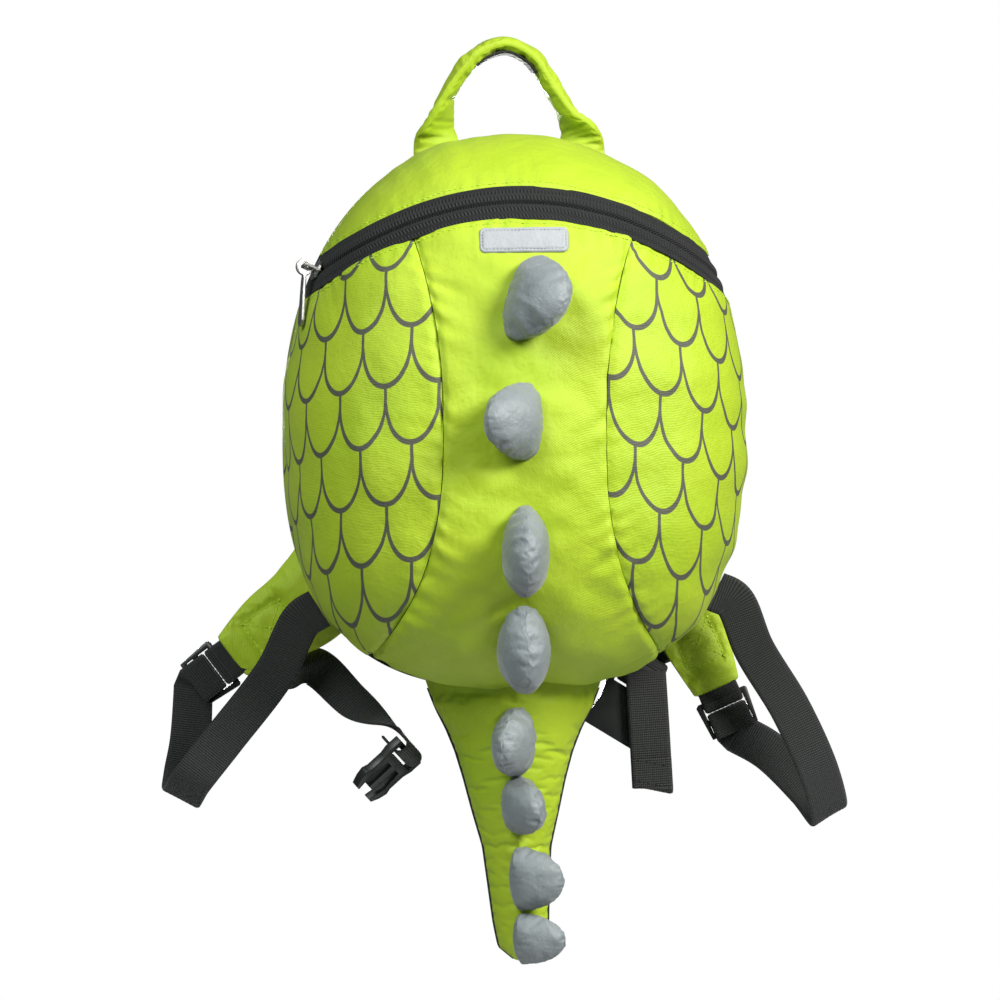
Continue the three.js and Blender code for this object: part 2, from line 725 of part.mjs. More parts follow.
const lowerTables = {
  left: [
    { across: -1.03, out: -0.06, down: 0.97, w: [0.75, -0.66] },
    { across: -1.25, out: -0.06, down: 1.09, w: [0.83, -0.55] },
    { across: -1.39, out: 0, down: 1.165, w: [0.88, -0.47] },
    { across: -1.44, out: 0.5, down: 1.2, w: [0.88, -0.47] },
    { across: -1.43, out: 1, down: 1.165, w: [0.88, -0.47] },
    { across: -1.4, out: 1.12, down: 1.1, w: [0.86, -0.5] },
  ],
  right: [
    { across: 1.05, out: -0.06, down: 0.93, w: [0.62, 0.78] },
    { across: 1.21, out: -0.06, down: 1.04, w: [0.7, 0.71] },
    { across: 1.34, out: 0, down: 1.16, w: [0.8, 0.6] },
    { across: 1.39, out: 0.5, down: 1.235, w: [0.85, 0.53] },
    { across: 1.31, out: 1, down: 1.19, w: [0.85, 0.53] },
    { across: 1.14, out: 1.05, down: 1.12, w: [0.9, 0.4] },
  ],
};

const sewnAngles = { left: -0.66, right: -0.57 };

function lowerWebbing(side, name, frame) {
  const { x, z } = outline(sewnAngles[name]);
  const out = domeNormal(x, z, 0);
  const sewnY = GAP + BACK_THICKNESS / 2;
  const start = vec(x, sewnY, z).addScaledVector(out, 2 * GAP);
  const towards = vec(side * start.x, start.y, start.z);
  const w = vec(side * -out.z, 0, out.x).multiplyScalar(side);
  const lead = vec(side * out.x, 0, out.z);
  const wrapOut = frame.out;
  const nearBar = frame.middle.clone().addScaledVector(frame.along, 3 * BAR);
  const rows = [
    { p: towards, w },
    { p: towards.clone().addScaledVector(lead, WEB_WIDTH / 2), w },
    ...lowerTables[name].map((row) => ({
      p: vec(row.across * HALF_WIDTH, sewnY + row.out * LOOP_REACH, topZ - row.down * bagHeight),
      w: vec(row.w[0], 0, row.w[1]),
    })),
    { p: nearBar.clone().addScaledVector(wrapOut, adjusterWrap + GAP), w: frame.w.clone() },
  ];
  const up = frame.along.clone().negate();
  const list = stations(rows, 30);
  if (list[list.length - 1].w.dot(frame.w) < 0) frame.w.negate();
  return band([
    ...list,
    ...turn(frame.middle, wrapOut, up, adjusterWrap, frame.w),
    { p: nearBar.clone().addScaledVector(wrapOut, -adjusterWrap), w: frame.w },
  ], () => flat(WEB_WIDTH, WEB_THICKNESS));
}

const pads = {};
for (const [name, side] of [['left', -1], ['right', 1]]) {
  const pad = padStations(padTables[name]);
  pads[name] = pad;
  add(`shoulder_strap_${name}`, band(pad, (share) => stadium(padWidth(share), PAD_THICKNESS)), LIME);
  const frame = adjusterFrame(pad);
  if (frame.w.x < 0) frame.w.negate();
  add(`adjuster_loop_${name}`, band(adjusterLoop(frame), () => flat(WEB_WIDTH, WEB_THICKNESS)), BLACK_CLOTH);
  add(`adjuster_${name}`, adjusterPlate(frame), BLACK_PLASTIC);
  add(`lower_webbing_${name}`, lowerWebbing(side, name, frame), BLACK_CLOTH);
}

// Slider and pull at the closed end of the zip

function sliderFrame() {
  const x = -sliderReach;
  const spot = { x, z: zipZ(x) };
  const base = dome(spot);
  const out = dome(spot, 1).sub(base);
  const ahead = dome({ x: x + 1, z: zipZ(x + 1) });
  const along = ahead.sub(dome({ x: x - 1, z: zipZ(x - 1) })).normalize();
  along.addScaledVector(out, -along.dot(out)).normalize().negate();
  return { base, out, along, across: out.clone().cross(along) };
}

const slider = sliderFrame();
const plateLift = GAP - TAPE_RECESS + GAP;
const pivotLift = plateLift + SLIDER_PLATE + EYE_RADIUS + EYE_OFFSET + GAP;
const pivot = slider.base.clone().addScaledVector(slider.out, pivotLift);

function roundedPlate(length, width, thickness) {
  const corner = width / 3;
  const a = length / 2;
  const b = width / 2;
  const shape = new THREE.Shape();
  shape.moveTo(-a + corner, -b).lineTo(a - corner, -b).lineTo(a, -b + corner).lineTo(a, b - corner);
  shape.lineTo(a - corner, b).lineTo(-a + corner, b).lineTo(-a, b - corner).lineTo(-a, -b + corner);
  shape.closePath();
  return new THREE.ExtrudeGeometry(shape, { depth: thickness, bevelEnabled: false });
}

function boxBetween(low, high) {
  const size = high.map((value, i) => value - low[i]);
  const box = new THREE.BoxGeometry(...size);
  return box.translate(...low.map((value, i) => value + size[i] / 2));
}

function sliderSolid() {
  const lowTop = tapeInner - 2.5 * GAP;
  const reach = EYE_THICKNESS / 2 + 3 * GAP;
  const barLow = pivotLift - BAIL_WIRE / 2;
  const barHigh = pivotLift + BAIL_WIRE / 2;
  const half = BAIL_WIRE / 2;
  const parts = [
    roundedPlate(SLIDER_LENGTH, SLIDER_WIDTH, SLIDER_PLATE).translate(0, 0, plateLift),
    roundedPlate(SLIDER_LENGTH, SLIDER_WIDTH, SLIDER_PLATE).translate(0, 0, lowTop - SLIDER_PLATE),
    boxBetween([-POST_LENGTH / 2, -POST_THICKNESS / 2, lowTop - SLIDER_PLATE / 2],
      [POST_LENGTH / 2, POST_THICKNESS / 2, plateLift + SLIDER_PLATE / 2]),
    boxBetween([-reach - BAIL_WIRE, -half, plateLift + SLIDER_PLATE / 2], [-reach, half, barHigh]),
    boxBetween([reach, -half, plateLift + SLIDER_PLATE / 2], [reach + BAIL_WIRE, half, barHigh]),
    boxBetween([-reach - BAIL_WIRE / 2, -half, barLow], [reach + BAIL_WIRE / 2, half, barHigh]),
  ];
  const whole = parts.slice(1).reduce((sum, part) => sum.add(solid(part)), solid(parts[0]));
  return place(geometryOf(whole), slider.along, slider.across, slider.out, slider.base);
}

add('zip_slider', sliderSolid(), NICKEL);

// The pull hangs in the plane across the bail. Its own frame: x along the bail, z away from the tab.

function lift(point) {
  const share = Math.max(0, -point.y / DEPTH);
  const value = (radius(point.x, point.z) ** DOME_POWER + share ** DOME_POWER) ** (1 / DOME_POWER);
  const step = 0.1;
  const centre = vec(0, 0, midZ);
  const outward = point.clone().sub(centre);
  const further = centre.clone().addScaledVector(outward, 1 + step);
  const shareFurther = Math.max(0, -further.y / DEPTH);
  const next = (radius(further.x, further.z) ** DOME_POWER + shareFurther ** DOME_POWER) ** (1 / DOME_POWER);
  const rate = (next - value) / (step * outward.length());
  const normal = domeNormal(point.x, point.z, share);
  return (value - 1) / rate * Math.abs(normal.dot(outward.normalize()));
}

function pullDirection(angle) {
  return slider.out.clone().negate().applyAxisAngle(slider.along, angle);
}

function restAngle() {
  const down = vec(0, 0, -1);
  const sign = Math.sign(slider.out.clone().negate().cross(down).dot(slider.along));
  const clear = PULL_THICKNESS / 2 + 2 * GAP;
  const seated = (angle) => {
    const direction = pullDirection(sign * angle);
    const across = slider.along.clone().multiplyScalar(PULL_WIDTH / 2);
    return [0.45, 0.6, 0.75, 0.9, 1].every((share) => {
      const middle = pivot.clone().addScaledVector(direction, PULL_LENGTH * share);
      return lift(middle.clone().add(across)) > clear && lift(middle.clone().sub(across)) > clear;
    });
  };
  return { sign, angle: solve(0, Math.PI * 0.9, seated) };
}

function pullSolid() {
  const eye = new THREE.Shape().absarc(0, 0, EYE_RADIUS, 0, 2 * Math.PI);
  const eyeRing = new THREE.ExtrudeGeometry(eye, { depth: EYE_THICKNESS, bevelEnabled: false, curveSegments: 16 });
  eyeRing.translate(0, 0, -EYE_THICKNESS / 2).rotateY(Math.PI / 2).translate(0, 0, -EYE_OFFSET);
  const hole = new THREE.CylinderGeometry(EYE_HOLE, EYE_HOLE, 3 * EYE_THICKNESS, 16);
  hole.rotateZ(Math.PI / 2).translate(0, 0, -EYE_OFFSET);
  const half = PULL_WIDTH / 2;
  const tab = new THREE.Shape();
  const neck = EYE_RADIUS;
  const corner = PULL_WIDTH / 3 - PULL_LENGTH;
  tab.moveTo(-EYE_THICKNESS / 2, -neck).lineTo(EYE_THICKNESS / 2, -neck).lineTo(half * 0.7, -neck - half);
  tab.lineTo(half, corner).lineTo(half / 2, -PULL_LENGTH).lineTo(-half / 2, -PULL_LENGTH);
  tab.lineTo(-half, corner).lineTo(-half * 0.7, -neck - half).closePath();
  const tabPlate = new THREE.ExtrudeGeometry(tab, { depth: PULL_THICKNESS, bevelEnabled: false });
  tabPlate.translate(0, 0, -PULL_THICKNESS / 2).rotateX(Math.PI / 2);
  return geometryOf(solid(eyeRing).add(solid(tabPlate)).subtract(solid(hole)));
}

const rest = restAngle();
const pull = add('zip_pull', pullSolid(), NICKEL);
const pullUp = pullDirection(rest.sign * rest.angle).negate();
pull.applyMatrix4(new THREE.Matrix4()
  .makeBasis(slider.along, pullUp.clone().cross(slider.along), pullUp)
  .setPosition(pivot));

// Chest strap: a plug on the left, a socket on the right, both hanging open

function ringPlate(points, holes, thickness) {
  const shape = new THREE.Shape(points.map(([x, y]) => new THREE.Vector2(x, y)));
  shape.holes = holes.map((hole) => new THREE.Path(hole.map(([x, y]) => new THREE.Vector2(x, y))));
  return new THREE.ExtrudeGeometry(shape, { depth: thickness, bevelEnabled: false })
    .translate(0, 0, -thickness / 2);
}

const buckleWrap = wrapRadius(PLUG_THICKNESS);
const slotHalf = WEB_WIDTH / 2 + 2 * GAP;
const slotEnd = buckleWrap + WEB_THICKNESS / 2 + 3 * GAP;
const webSlot = [[-slotHalf, BAR / 2], [slotHalf, BAR / 2], [slotHalf, slotEnd], [-slotHalf, slotEnd]];

function mirrored(points) {
  return [...points, ...points.map(([x, y]) => [-x, y]).reverse()];
}

function plugGeometry() {
  const half = slotHalf + BAR;
  const body = slotEnd + BAR;
  const long = PLUG_LENGTH - BAR / 2;
  const outer = mirrored([
    [half, -BAR / 2],
    [half, slotEnd],
    [half * 0.89, body + BAR / 3],
    [half * 0.89, long * 0.62],
    [half, long * 0.72],
    [half * 0.89, long * 0.86],
    [half * 0.67, long],
    [half * 0.49, long],
    [half * 0.635, long * 0.7],
    [half * 0.525, body + BAR / 2],
    [half * 0.175, body + BAR / 2],
    [half * 0.175, long * 0.85],
  ]);
  return ringPlate(outer, [webSlot], PLUG_THICKNESS);
}

function socketGeometry() {
  const half = SOCKET_WIDTH / 2;
  const long = SOCKET_LENGTH - BAR / 2;
  const bar = mirrored([[half, -BAR / 2], [half, slotEnd + BAR]]);
  const outer = mirrored([
    [half, slotEnd],
    [half - SOCKET_WAIST, long * 0.5],
    [half - SOCKET_WAIST * 0.65, long * 0.75],
    [half, long],
  ]);
  const shell = solid(ringPlate(outer, [], SOCKET_THICKNESS)).add(solid(ringPlate(bar, [webSlot], PLUG_THICKNESS)));
  const inner = half - SOCKET_WALL - SOCKET_WAIST;
  const deep = SOCKET_THICKNESS / 2 - SOCKET_WALL;
  const cavity = boxBetween([-inner, long - SOCKET_CAVITY, -deep], [inner, long + SOCKET_WALL, deep]);
  const window = boxBetween([-SOCKET_WIDTH, long * 0.56, -deep], [SOCKET_WIDTH, long * 0.76, deep]);
  return geometryOf(shell.subtract(solid(cavity)).subtract(solid(window)));
}

// Places of the buckle halves and their webbing: shares of half width, bow and the bag's height.

function chestPoint(across, out, down) {
  return vec(across * HALF_WIDTH, padY + out * STRAP_BOW, topZ - down * bagHeight);
}

// Stations sewn flat on the rear face of a strap, crossing it at a slant
function sewnStations(pad, index, slant) {
  const { p } = pad[index];
  const along = pad[index + 1].p.clone().sub(pad[index - 1].p).normalize();
  const w = pad[index].w.clone();
  const out = along.clone().cross(w);
  if (out.y < 0) out.negate();
  const way = w.clone().applyAxisAngle(out, degToRad(slant));
  if (way.z > 0) way.negate();
  const across = out.clone().cross(way);
  const centre = p.clone().addScaledVector(out, PAD_THICKNESS / 2 + GAP + WEB_THICKNESS / 2);
  return [-0.5, 0.3, 1.1].map((share) => ({
    p: centre.clone().addScaledVector(way, share * WEB_WIDTH),
    w: across,
  }));
}

function alignTo(rows) {
  for (let i = 1; i < rows.length; i += 1) {
    if (rows[i].w.dot(rows[i - 1].w) < 0) rows[i].w = rows[i].w.clone().negate();
  }
  return rows;
}

const plugBar = chestPoint(-0.46, -0.1, 1.115);
const plugAlong = vec(-0.74, 0, -0.67).normalize();
const plugTurn = degToRad(55);
const plugWide = vec(0.67, 0, -0.74).normalize().multiplyScalar(Math.cos(plugTurn))
  .addScaledVector(Y_AXIS, Math.sin(plugTurn));
const plugOut = plugAlong.clone().cross(plugWide);

function chestWebbingLeft() {
  const outer = plugBar.clone().addScaledVector(plugAlong, -buckleWrap);
  const inner = plugBar.clone().addScaledVector(plugAlong, buckleWrap);
  const list = stations(alignTo([
    ...sewnStations(pads.left, 16, 0),
    { p: chestPoint(-0.86, 0.36, 0.963), w: vec(0.7, 0.2, 0.7) },
    { p: chestPoint(-0.68, 0.26, 1.03), w: vec(0.6, 0.5, 0.6) },
    { p: outer.clone().addScaledVector(plugOut, -WEB_WIDTH / 2), w: plugWide },
    { p: outer.clone().addScaledVector(plugOut, -BAR), w: plugWide },
  ]), 16);
  const w = list[list.length - 1].w.dot(plugWide) < 0 ? plugWide.clone().negate() : plugWide;
  return band([
    ...list,
    ...turn(plugBar, plugAlong.clone().negate(), plugOut, buckleWrap, w),
    { p: inner.addScaledVector(plugOut, -WEB_WIDTH / 2), w },
  ], () => flat(WEB_WIDTH, WEB_THICKNESS));
}

add('chest_webbing_left', chestWebbingLeft(), BLACK_CLOTH);
add('chest_plug', place(plugGeometry(), plugWide, plugAlong, plugWide.clone().cross(plugAlong), plugBar),
  BLACK_PLASTIC);

const socketBar = chestPoint(0.56, 0.34, 0.99);
const socketAlong = vec(-0.52, 0, -0.86).normalize();
const socketWide = vec(0.86, 0, -0.52).normalize();
const TAIL_FOLD = 1.7;
const FREE_END = 57;

function chestWebbingRight() {
  const rear = socketBar.clone().addScaledVector(Y_AXIS, buckleWrap);
  const rise = socketAlong.clone().negate();
  const list = stations(alignTo([
    ...sewnStations(pads.right, 16, 0),
    { p: rear.clone().addScaledVector(rise, WEB_WIDTH * 0.55).addScaledVector(Y_AXIS, GAP), w: socketWide },
    { p: rear.clone().addScaledVector(rise, BAR), w: socketWide },
  ]), 12);
  const w = list[list.length - 1].w.dot(socketWide) < 0 ? socketWide.clone().negate() : socketWide;
  const front = socketBar.clone().addScaledVector(Y_AXIS, -buckleWrap).addScaledVector(rise, 2 * BAR);
  const fold = front.clone().addScaledVector(Y_AXIS, -TAIL_FOLD);
  const hang = fold.clone().addScaledVector(Y_AXIS, -TAIL_FOLD);
  const straight = vec(0.06, 0, -1).normalize();
  const hangWide = vec(0.98, 0, -0.2).multiplyScalar(Math.sign(w.x));
  return band([
    ...list,
    ...turn(socketBar, Y_AXIS, socketAlong, buckleWrap, w),
    ...turn(fold, Y_AXIS, rise, TAIL_FOLD, w),
    { p: hang.clone().addScaledVector(straight, FREE_END * 0.5), w: hangWide },
    { p: hang.clone().addScaledVector(straight, FREE_END), w: hangWide },
  ], () => flat(WEB_WIDTH, WEB_THICKNESS));
}

add('chest_webbing_right', chestWebbingRight(), BLACK_CLOTH);
add('chest_socket', place(socketGeometry(), socketWide, socketAlong, socketWide.clone().cross(socketAlong),
  socketBar), BLACK_PLASTIC);

export default bag;
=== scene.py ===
# %% [markdown]
# A toddler's dinosaur backpack, hung by its grab handle.
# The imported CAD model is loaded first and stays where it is. Each soft part is then made again
# as fine cloth in the same place, so the bag keeps its measured size while it gains its folds,
# seams, stitches and weave. Sizes are in millimetres and become metres when a mesh is made.

# %% Load the frame
import math
import bmesh
import bpy
import numpy as np
from mathutils import Matrix, Vector
from mathutils.bvhtree import BVHTree


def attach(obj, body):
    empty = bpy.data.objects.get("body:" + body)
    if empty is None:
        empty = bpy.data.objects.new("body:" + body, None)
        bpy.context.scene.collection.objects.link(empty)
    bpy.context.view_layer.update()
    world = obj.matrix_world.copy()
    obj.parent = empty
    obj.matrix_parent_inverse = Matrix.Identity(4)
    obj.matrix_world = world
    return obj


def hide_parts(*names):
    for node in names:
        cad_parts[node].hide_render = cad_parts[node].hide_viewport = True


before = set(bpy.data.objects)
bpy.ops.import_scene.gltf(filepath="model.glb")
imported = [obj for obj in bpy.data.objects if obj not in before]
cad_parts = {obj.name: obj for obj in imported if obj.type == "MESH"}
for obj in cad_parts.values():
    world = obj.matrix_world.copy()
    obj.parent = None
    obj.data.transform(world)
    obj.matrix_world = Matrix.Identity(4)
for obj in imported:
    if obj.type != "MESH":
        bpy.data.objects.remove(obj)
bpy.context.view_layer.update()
MM = 0.001
METRE = 1000

# %% [markdown]
# The camera stands level with the bag and far away, as for a product picture, and about three
# degrees to its left, so the dome's middle sits a little right of its outline's middle.
# A long lens keeps the sides from leaning. The floor lies below the tail, under the picture's edge.

# %% Camera
scene = bpy.context.scene
CAMERA_TURN = math.radians(-3)
CAMERA_DISTANCE = 2.6
SENSOR_WIDTH = 36
FRAME_WIDTH = 0.480
AIM_RIGHT = -0.0080
AIM_BACK = -0.03
AIM_UP = -0.216


def link(name, data):
    made = bpy.data.objects.new(name, data)
    scene.collection.objects.link(made)
    return made


def look(thing, way):
    thing.rotation_mode = "QUATERNION"
    thing.rotation_quaternion = way.to_track_quat("-Z", "Y")


right = Vector((math.cos(CAMERA_TURN), math.sin(CAMERA_TURN), 0))
back = Vector((math.sin(CAMERA_TURN), -math.cos(CAMERA_TURN), 0))
camera = link("camera", bpy.data.cameras.new("camera"))
camera.data.sensor_width = SENSOR_WIDTH
camera.data.lens = SENSOR_WIDTH * CAMERA_DISTANCE / FRAME_WIDTH
camera.location = right * AIM_RIGHT + Vector((0, AIM_BACK, AIM_UP)) + back * CAMERA_DISTANCE
look(camera, -back)
scene.camera = camera
scene.view_settings.view_transform = "Standard"
print("lens", round(camera.data.lens), "mm")

# %% [markdown]
# Soft studio light: a large key lamp high on the right, a weak one high on the left, and one
# straight behind the bag that lights only its back, so that no edge is blown out from the front.
# The world is white where the camera sees it and dim as a light.

# %% Lights and world
BAG_MIDDLE = Vector((0, -0.05, -0.2))
WORLD_TINT = (0.88, 1, 1, 1)
WORLD_STRENGTH = 0.11


def lamp(name, place, size, power, tint=(1, 1, 1)):
    data = bpy.data.lights.new(name, "AREA")
    data.color = tint
    data.shape = "DISK"
    data.size = size
    data.energy = power
    light = link(name, data)
    light.location = place
    look(light, BAG_MIDDLE - Vector(place))


lamp("key_lamp", (1.3, -1.3, 0.8), size=0.9, power=60, tint=(1, 0.98, 0.95))
lamp("fill_lamp", (-0.95, -1.35, 1.0), size=1.0, power=27, tint=(0.95, 1, 0.99))
lamp("rear_lamp", (0.0, 1.9, -0.15), size=0.6, power=40)
world = bpy.data.worlds.new("studio")
scene.world = world
world.use_nodes = True
sky = world.node_tree
sky.nodes.clear()
seen = sky.nodes.new("ShaderNodeBackground")
seen.inputs["Color"].default_value = (1, 1, 1, 1)
lit = sky.nodes.new("ShaderNodeBackground")
lit.inputs["Color"].default_value = WORLD_TINT
lit.inputs["Strength"].default_value = WORLD_STRENGTH
path = sky.nodes.new("ShaderNodeLightPath")
blend = sky.nodes.new("ShaderNodeMixShader")
out = sky.nodes.new("ShaderNodeOutputWorld")
sky.links.new(path.outputs["Is Camera Ray"], blend.inputs[0])
sky.links.new(lit.outputs[0], blend.inputs[1])
sky.links.new(seen.outputs[0], blend.inputs[2])
sky.links.new(blend.outputs[0], out.inputs["Surface"])

# %% [markdown]
# Node materials are written here as sums. A small class wraps a socket, so that `a + b` on two
# of them adds the Math node that does it, and one method makes every other kind of node.
# A wave of a given pitch is the sum that weaves, ribs and threads are made of.

# %% A socket that can be reckoned with
MIX_FACTOR, MIX_ONE, MIX_TWO, MIX_RESULT = 0, 6, 7, 2


class Wire:
    def __init__(self, finish, socket):
        self.finish = finish
        self.socket = socket

    def join(self, operation, *values):
        return self.finish.node("ShaderNodeMath", {"operation": operation}, dict(enumerate(values)))

    def __add__(self, other):
        return self.join("ADD", self, other)

    def __radd__(self, other):
        return self.join("ADD", other, self)

    def __sub__(self, other):
        return self.join("SUBTRACT", self, other)

    def __rsub__(self, other):
        return self.join("SUBTRACT", other, self)

    def __mul__(self, other):
        return self.join("MULTIPLY", self, other)

    def __rmul__(self, other):
        return self.join("MULTIPLY", other, self)

    def __truediv__(self, other):
        return self.join("DIVIDE", self, other)

    def __lt__(self, other):
        return self.join("LESS_THAN", self, other)

    def __gt__(self, other):
        return self.join("GREATER_THAN", self, other)

    def __abs__(self):
        return self.join("ABSOLUTE", self)

    def wave(self, pitch):
        return self.join("SINE", self * (2 * math.pi / pitch))

    def fraction(self):
        return self.join("FRACT", self)

    def root(self):
        return self.join("SQRT", self)

    def low(self, other):
        return self.join("MINIMUM", self, other)

    def high(self, other):
        return self.join("MAXIMUM", self, other)


class Finish:
    def __init__(self, name):
        self.material = bpy.data.materials.new(name)
        self.material.use_nodes = True
        self.tree = self.material.node_tree
        self.tree.nodes.clear()

    def node(self, kind, settings=None, inputs=None, output=0):
        made = self.tree.nodes.new(kind)
        for key, value in (settings or {}).items():
            setattr(made, key, value)
        for key, value in (inputs or {}).items():
            if isinstance(value, Wire):
                self.tree.links.new(value.socket, made.inputs[key])
            else:
                made.inputs[key].default_value = value
        return Wire(self, made.outputs[output])

    def mix(self, factor, one, two):
        paint = [value if isinstance(value, Wire) else (*value, 1) for value in (one, two)]
        values = {MIX_FACTOR: factor, MIX_ONE: paint[0], MIX_TWO: paint[1]}
        return self.node("ShaderNodeMix", {"data_type": "RGBA"}, values, MIX_RESULT)

    def split(self, vector):
        node = self.node("ShaderNodeSeparateXYZ", None, {"Vector": vector}).socket.node
        return [Wire(self, node.outputs[i]) for i in range(3)]

    def cloth_places(self, layer="cloth"):
        u, v, _ = self.split(self.node("ShaderNodeUVMap", {"uv_map": layer}))
        return u * METRE, v * METRE

    def places(self):
        return self.node("ShaderNodeTexCoord", output="Object")

    def noise(self, scale, detail=3, roughness=0.55, vector=None):
        values = {"Vector": vector or self.places(), "Scale": scale, "Detail": detail,
                  "Roughness": roughness}
        return self.node("ShaderNodeTexNoise", {"normalize": True}, values)

    def relief(self, height, depth, over=None):
        values = {"Height": height, "Distance": depth, "Strength": 1.0}
        if over is not None:
            values["Normal"] = over
        return self.node("ShaderNodeBump", None, values)

    def skin(self, **inputs):
        values = {key.replace("_", " "): value for key, value in inputs.items()}
        shader = self.node("ShaderNodeBsdfPrincipled", None, values)
        out = self.tree.nodes.new("ShaderNodeOutputMaterial")
        self.tree.links.new(shader.socket, out.inputs["Surface"])
        return self.material


# %% [markdown]
# The lime cloth is a satin-like polyester twill: fine slanting ribs, a soft broad gloss, and a
# colour that drifts a little with the dye. The ribs follow the cloth's own UV map, measured in
# millimetres along the surface, so they keep their size on every piece.

# %% Lime cloth
LIME = (0.49, 0.64, 0.028)
LIME_DEEP = (0.34, 0.54, 0.009)
LIME_ROUGH = 0.43
CRUMPLE_ROUGH = 0.16
TWILL_PITCH = 1.25
TWILL_SLANT = 1.6


def twill(u, v):
    slant = (u + v * TWILL_SLANT).wave(TWILL_PITCH)
    weft = (u * TWILL_SLANT - v).wave(TWILL_PITCH * 0.55)
    return slant * 0.5 + 0.5 + weft * 0.18


def lime_base(finish):
    ribs = twill(*finish.cloth_places())
    drift = finish.noise(24)
    crumple = finish.noise(95, detail=4, roughness=0.6)
    tone = (drift - 0.5) * 1.1 + 0.35 + (0.5 - ribs) * 0.22
    return finish.mix(tone, LIME, LIME_DEEP), ribs, crumple


def lime_skin(finish, colour, ribs, crumple, rougher=0.0):
    soft = finish.relief(crumple, depth=0.0011)
    fine = finish.relief(ribs, depth=0.00007, over=soft)
    rough = LIME_ROUGH + crumple * CRUMPLE_ROUGH + rougher
    return finish.skin(Base_Color=colour, Roughness=rough, Normal=fine, Sheen_Weight=0.05,
                       Sheen_Roughness=0.45, Specular_IOR_Level=0.42)


lime = Finish("lime_twill")
LIME_CLOTH = lime_skin(lime, *lime_base(lime))
print("lime cloth nodes", len(lime.tree.nodes))

# %% [markdown]
# The side panels carry a printed fish-scale pattern. Each scale is the lower half of an ellipse,
# and where two of them meet, a short stem runs up to the scale above. The second set lies half a
# scale across and one row down. The line is thick under each scale and thin up its sides.

# %% Printed scales
SCALE_WIDTH = 25.5
SCALE_ROW = 27.5
SCALE_ROUND = 21.5
LINE_THIN = 1.45
LINE_THICK = 2.6
PRINT_GREY = (0.082, 0.080, 0.070)
INK_ROUGH = 0.05
INK_WORN = 0.25


def scale_line(u, v, across, down):
    half = SCALE_WIDTH / 2
    period = 2 * SCALE_ROW
    t = abs(((u / SCALE_WIDTH + across).fraction() - 0.5) * 2)
    rise = ((v + down + LINE_THICK) / period).fraction() * period - LINE_THICK
    q = (SCALE_ROUND - rise).high(0) / SCALE_ROUND
    size = (t * t + q * q).root().high(0.05)
    slope = ((t / half) * (t / half) + (q / SCALE_ROUND) * (q / SCALE_ROUND)).root() / size
    distance = abs(size - 1) / slope.high(0.001)
    width = LINE_THIN + (LINE_THICK - LINE_THIN) * (1 - t * t).high(0)
    edge = ((width / 2 - distance) * 4 + 0.5).low(1).high(0)
    return edge * (rise < SCALE_ROW + LINE_THIN / 2)


printed = Finish("lime_scale_print")
print_ground, print_ribs, print_crumple = lime_base(printed)
print_u, print_v = printed.cloth_places("print")
wander = printed.noise(60, detail=2) - 0.5
print_u, print_v = print_u + wander * 1.6, print_v + wander * 1.2
ink = scale_line(print_u, print_v, 0.0, 0.0).high(scale_line(print_u, print_v, 0.5, SCALE_ROW))
ink_worn = ink * (1 - (print_ribs > 0.98) * INK_WORN)
print_colour = printed.mix(ink_worn, print_ground, PRINT_GREY)
PRINTED_CLOTH = lime_skin(printed, print_colour, print_ribs, print_crumple, ink * INK_ROUGH)
print("printed cloth nodes", len(printed.tree.nodes))

# %% [markdown]
# The spikes and the patch are a thin silver-grey satin. It shows small pulled creases where it
# is gathered, and a tighter gloss than the lime cloth.

# %% Grey satin
def satin(name, light, dark, rough):
    finish = Finish(name)
    u, v = finish.cloth_places()
    threads = u.wave(0.5) * v.wave(0.5)
    cloud = finish.noise(70, detail=4)
    pulled = finish.noise(260, detail=4, roughness=0.62)
    colour = finish.mix((cloud - 0.4) * 1.3 + threads * 0.06, light, dark)
    bump = finish.relief(threads, depth=0.00002, over=finish.relief(pulled, depth=0.0007))
    return finish.skin(Base_Color=colour, Roughness=rough + pulled * 0.16, Normal=bump,
                       Sheen_Weight=0.3, Sheen_Roughness=0.4, Specular_IOR_Level=0.5)


SPIKE_SATIN = satin("grey_satin", (0.245, 0.275, 0.288), (0.16, 0.187, 0.2), 0.34)
PATCH_SATIN = satin("patch_satin", (0.40, 0.42, 0.44), (0.30, 0.32, 0.345), 0.4)

# %% [markdown]
# Webbing is woven from thick yarns: raised bars cross it about every millimetre, and each bar is
# broken into beads by the lengthwise yarns. The zip's tape is finer, with a herringbone weave.

# %% Black cloths
def black_cloth(finish, share, dark, light, rough, height, depth, sheen, gloss):
    return finish.skin(Base_Color=finish.mix(share, dark, light), Roughness=rough,
                       Normal=finish.relief(height, depth), Sheen_Weight=sheen,
                       Sheen_Roughness=0.5, Specular_IOR_Level=gloss)


def webbing_finish(name, dark, light, pitch=1.15, column=0.95):
    finish = Finish(name)
    u, v = finish.cloth_places()
    height = abs(v.wave(2 * pitch)) * (0.55 + abs(u.wave(2 * column)) * 0.45)
    dust = finish.noise(180, detail=4)
    share = (height - 0.35) * 1.2 + (dust - 0.5) * 0.4
    return black_cloth(finish, share, dark, light, rough=0.5 + dust * 0.25, height=height,
                       depth=0.00028, sheen=0.2, gloss=0.4)


def herringbone(name, dark, light, pitch=1.7, column=3.2):
    finish = Finish(name)
    u, v = finish.cloth_places()
    fold = abs((u / column).fraction() - 0.5) * column
    slant = (v + fold * 1.4).wave(pitch)
    fuzz = finish.noise(320)
    share = slant * 0.4 + 0.4 + (fuzz - 0.5) * 0.5
    return black_cloth(finish, share, dark, light, rough=0.62 + fuzz * 0.2, height=slant,
                       depth=0.0003, sheen=0.04, gloss=0.35)


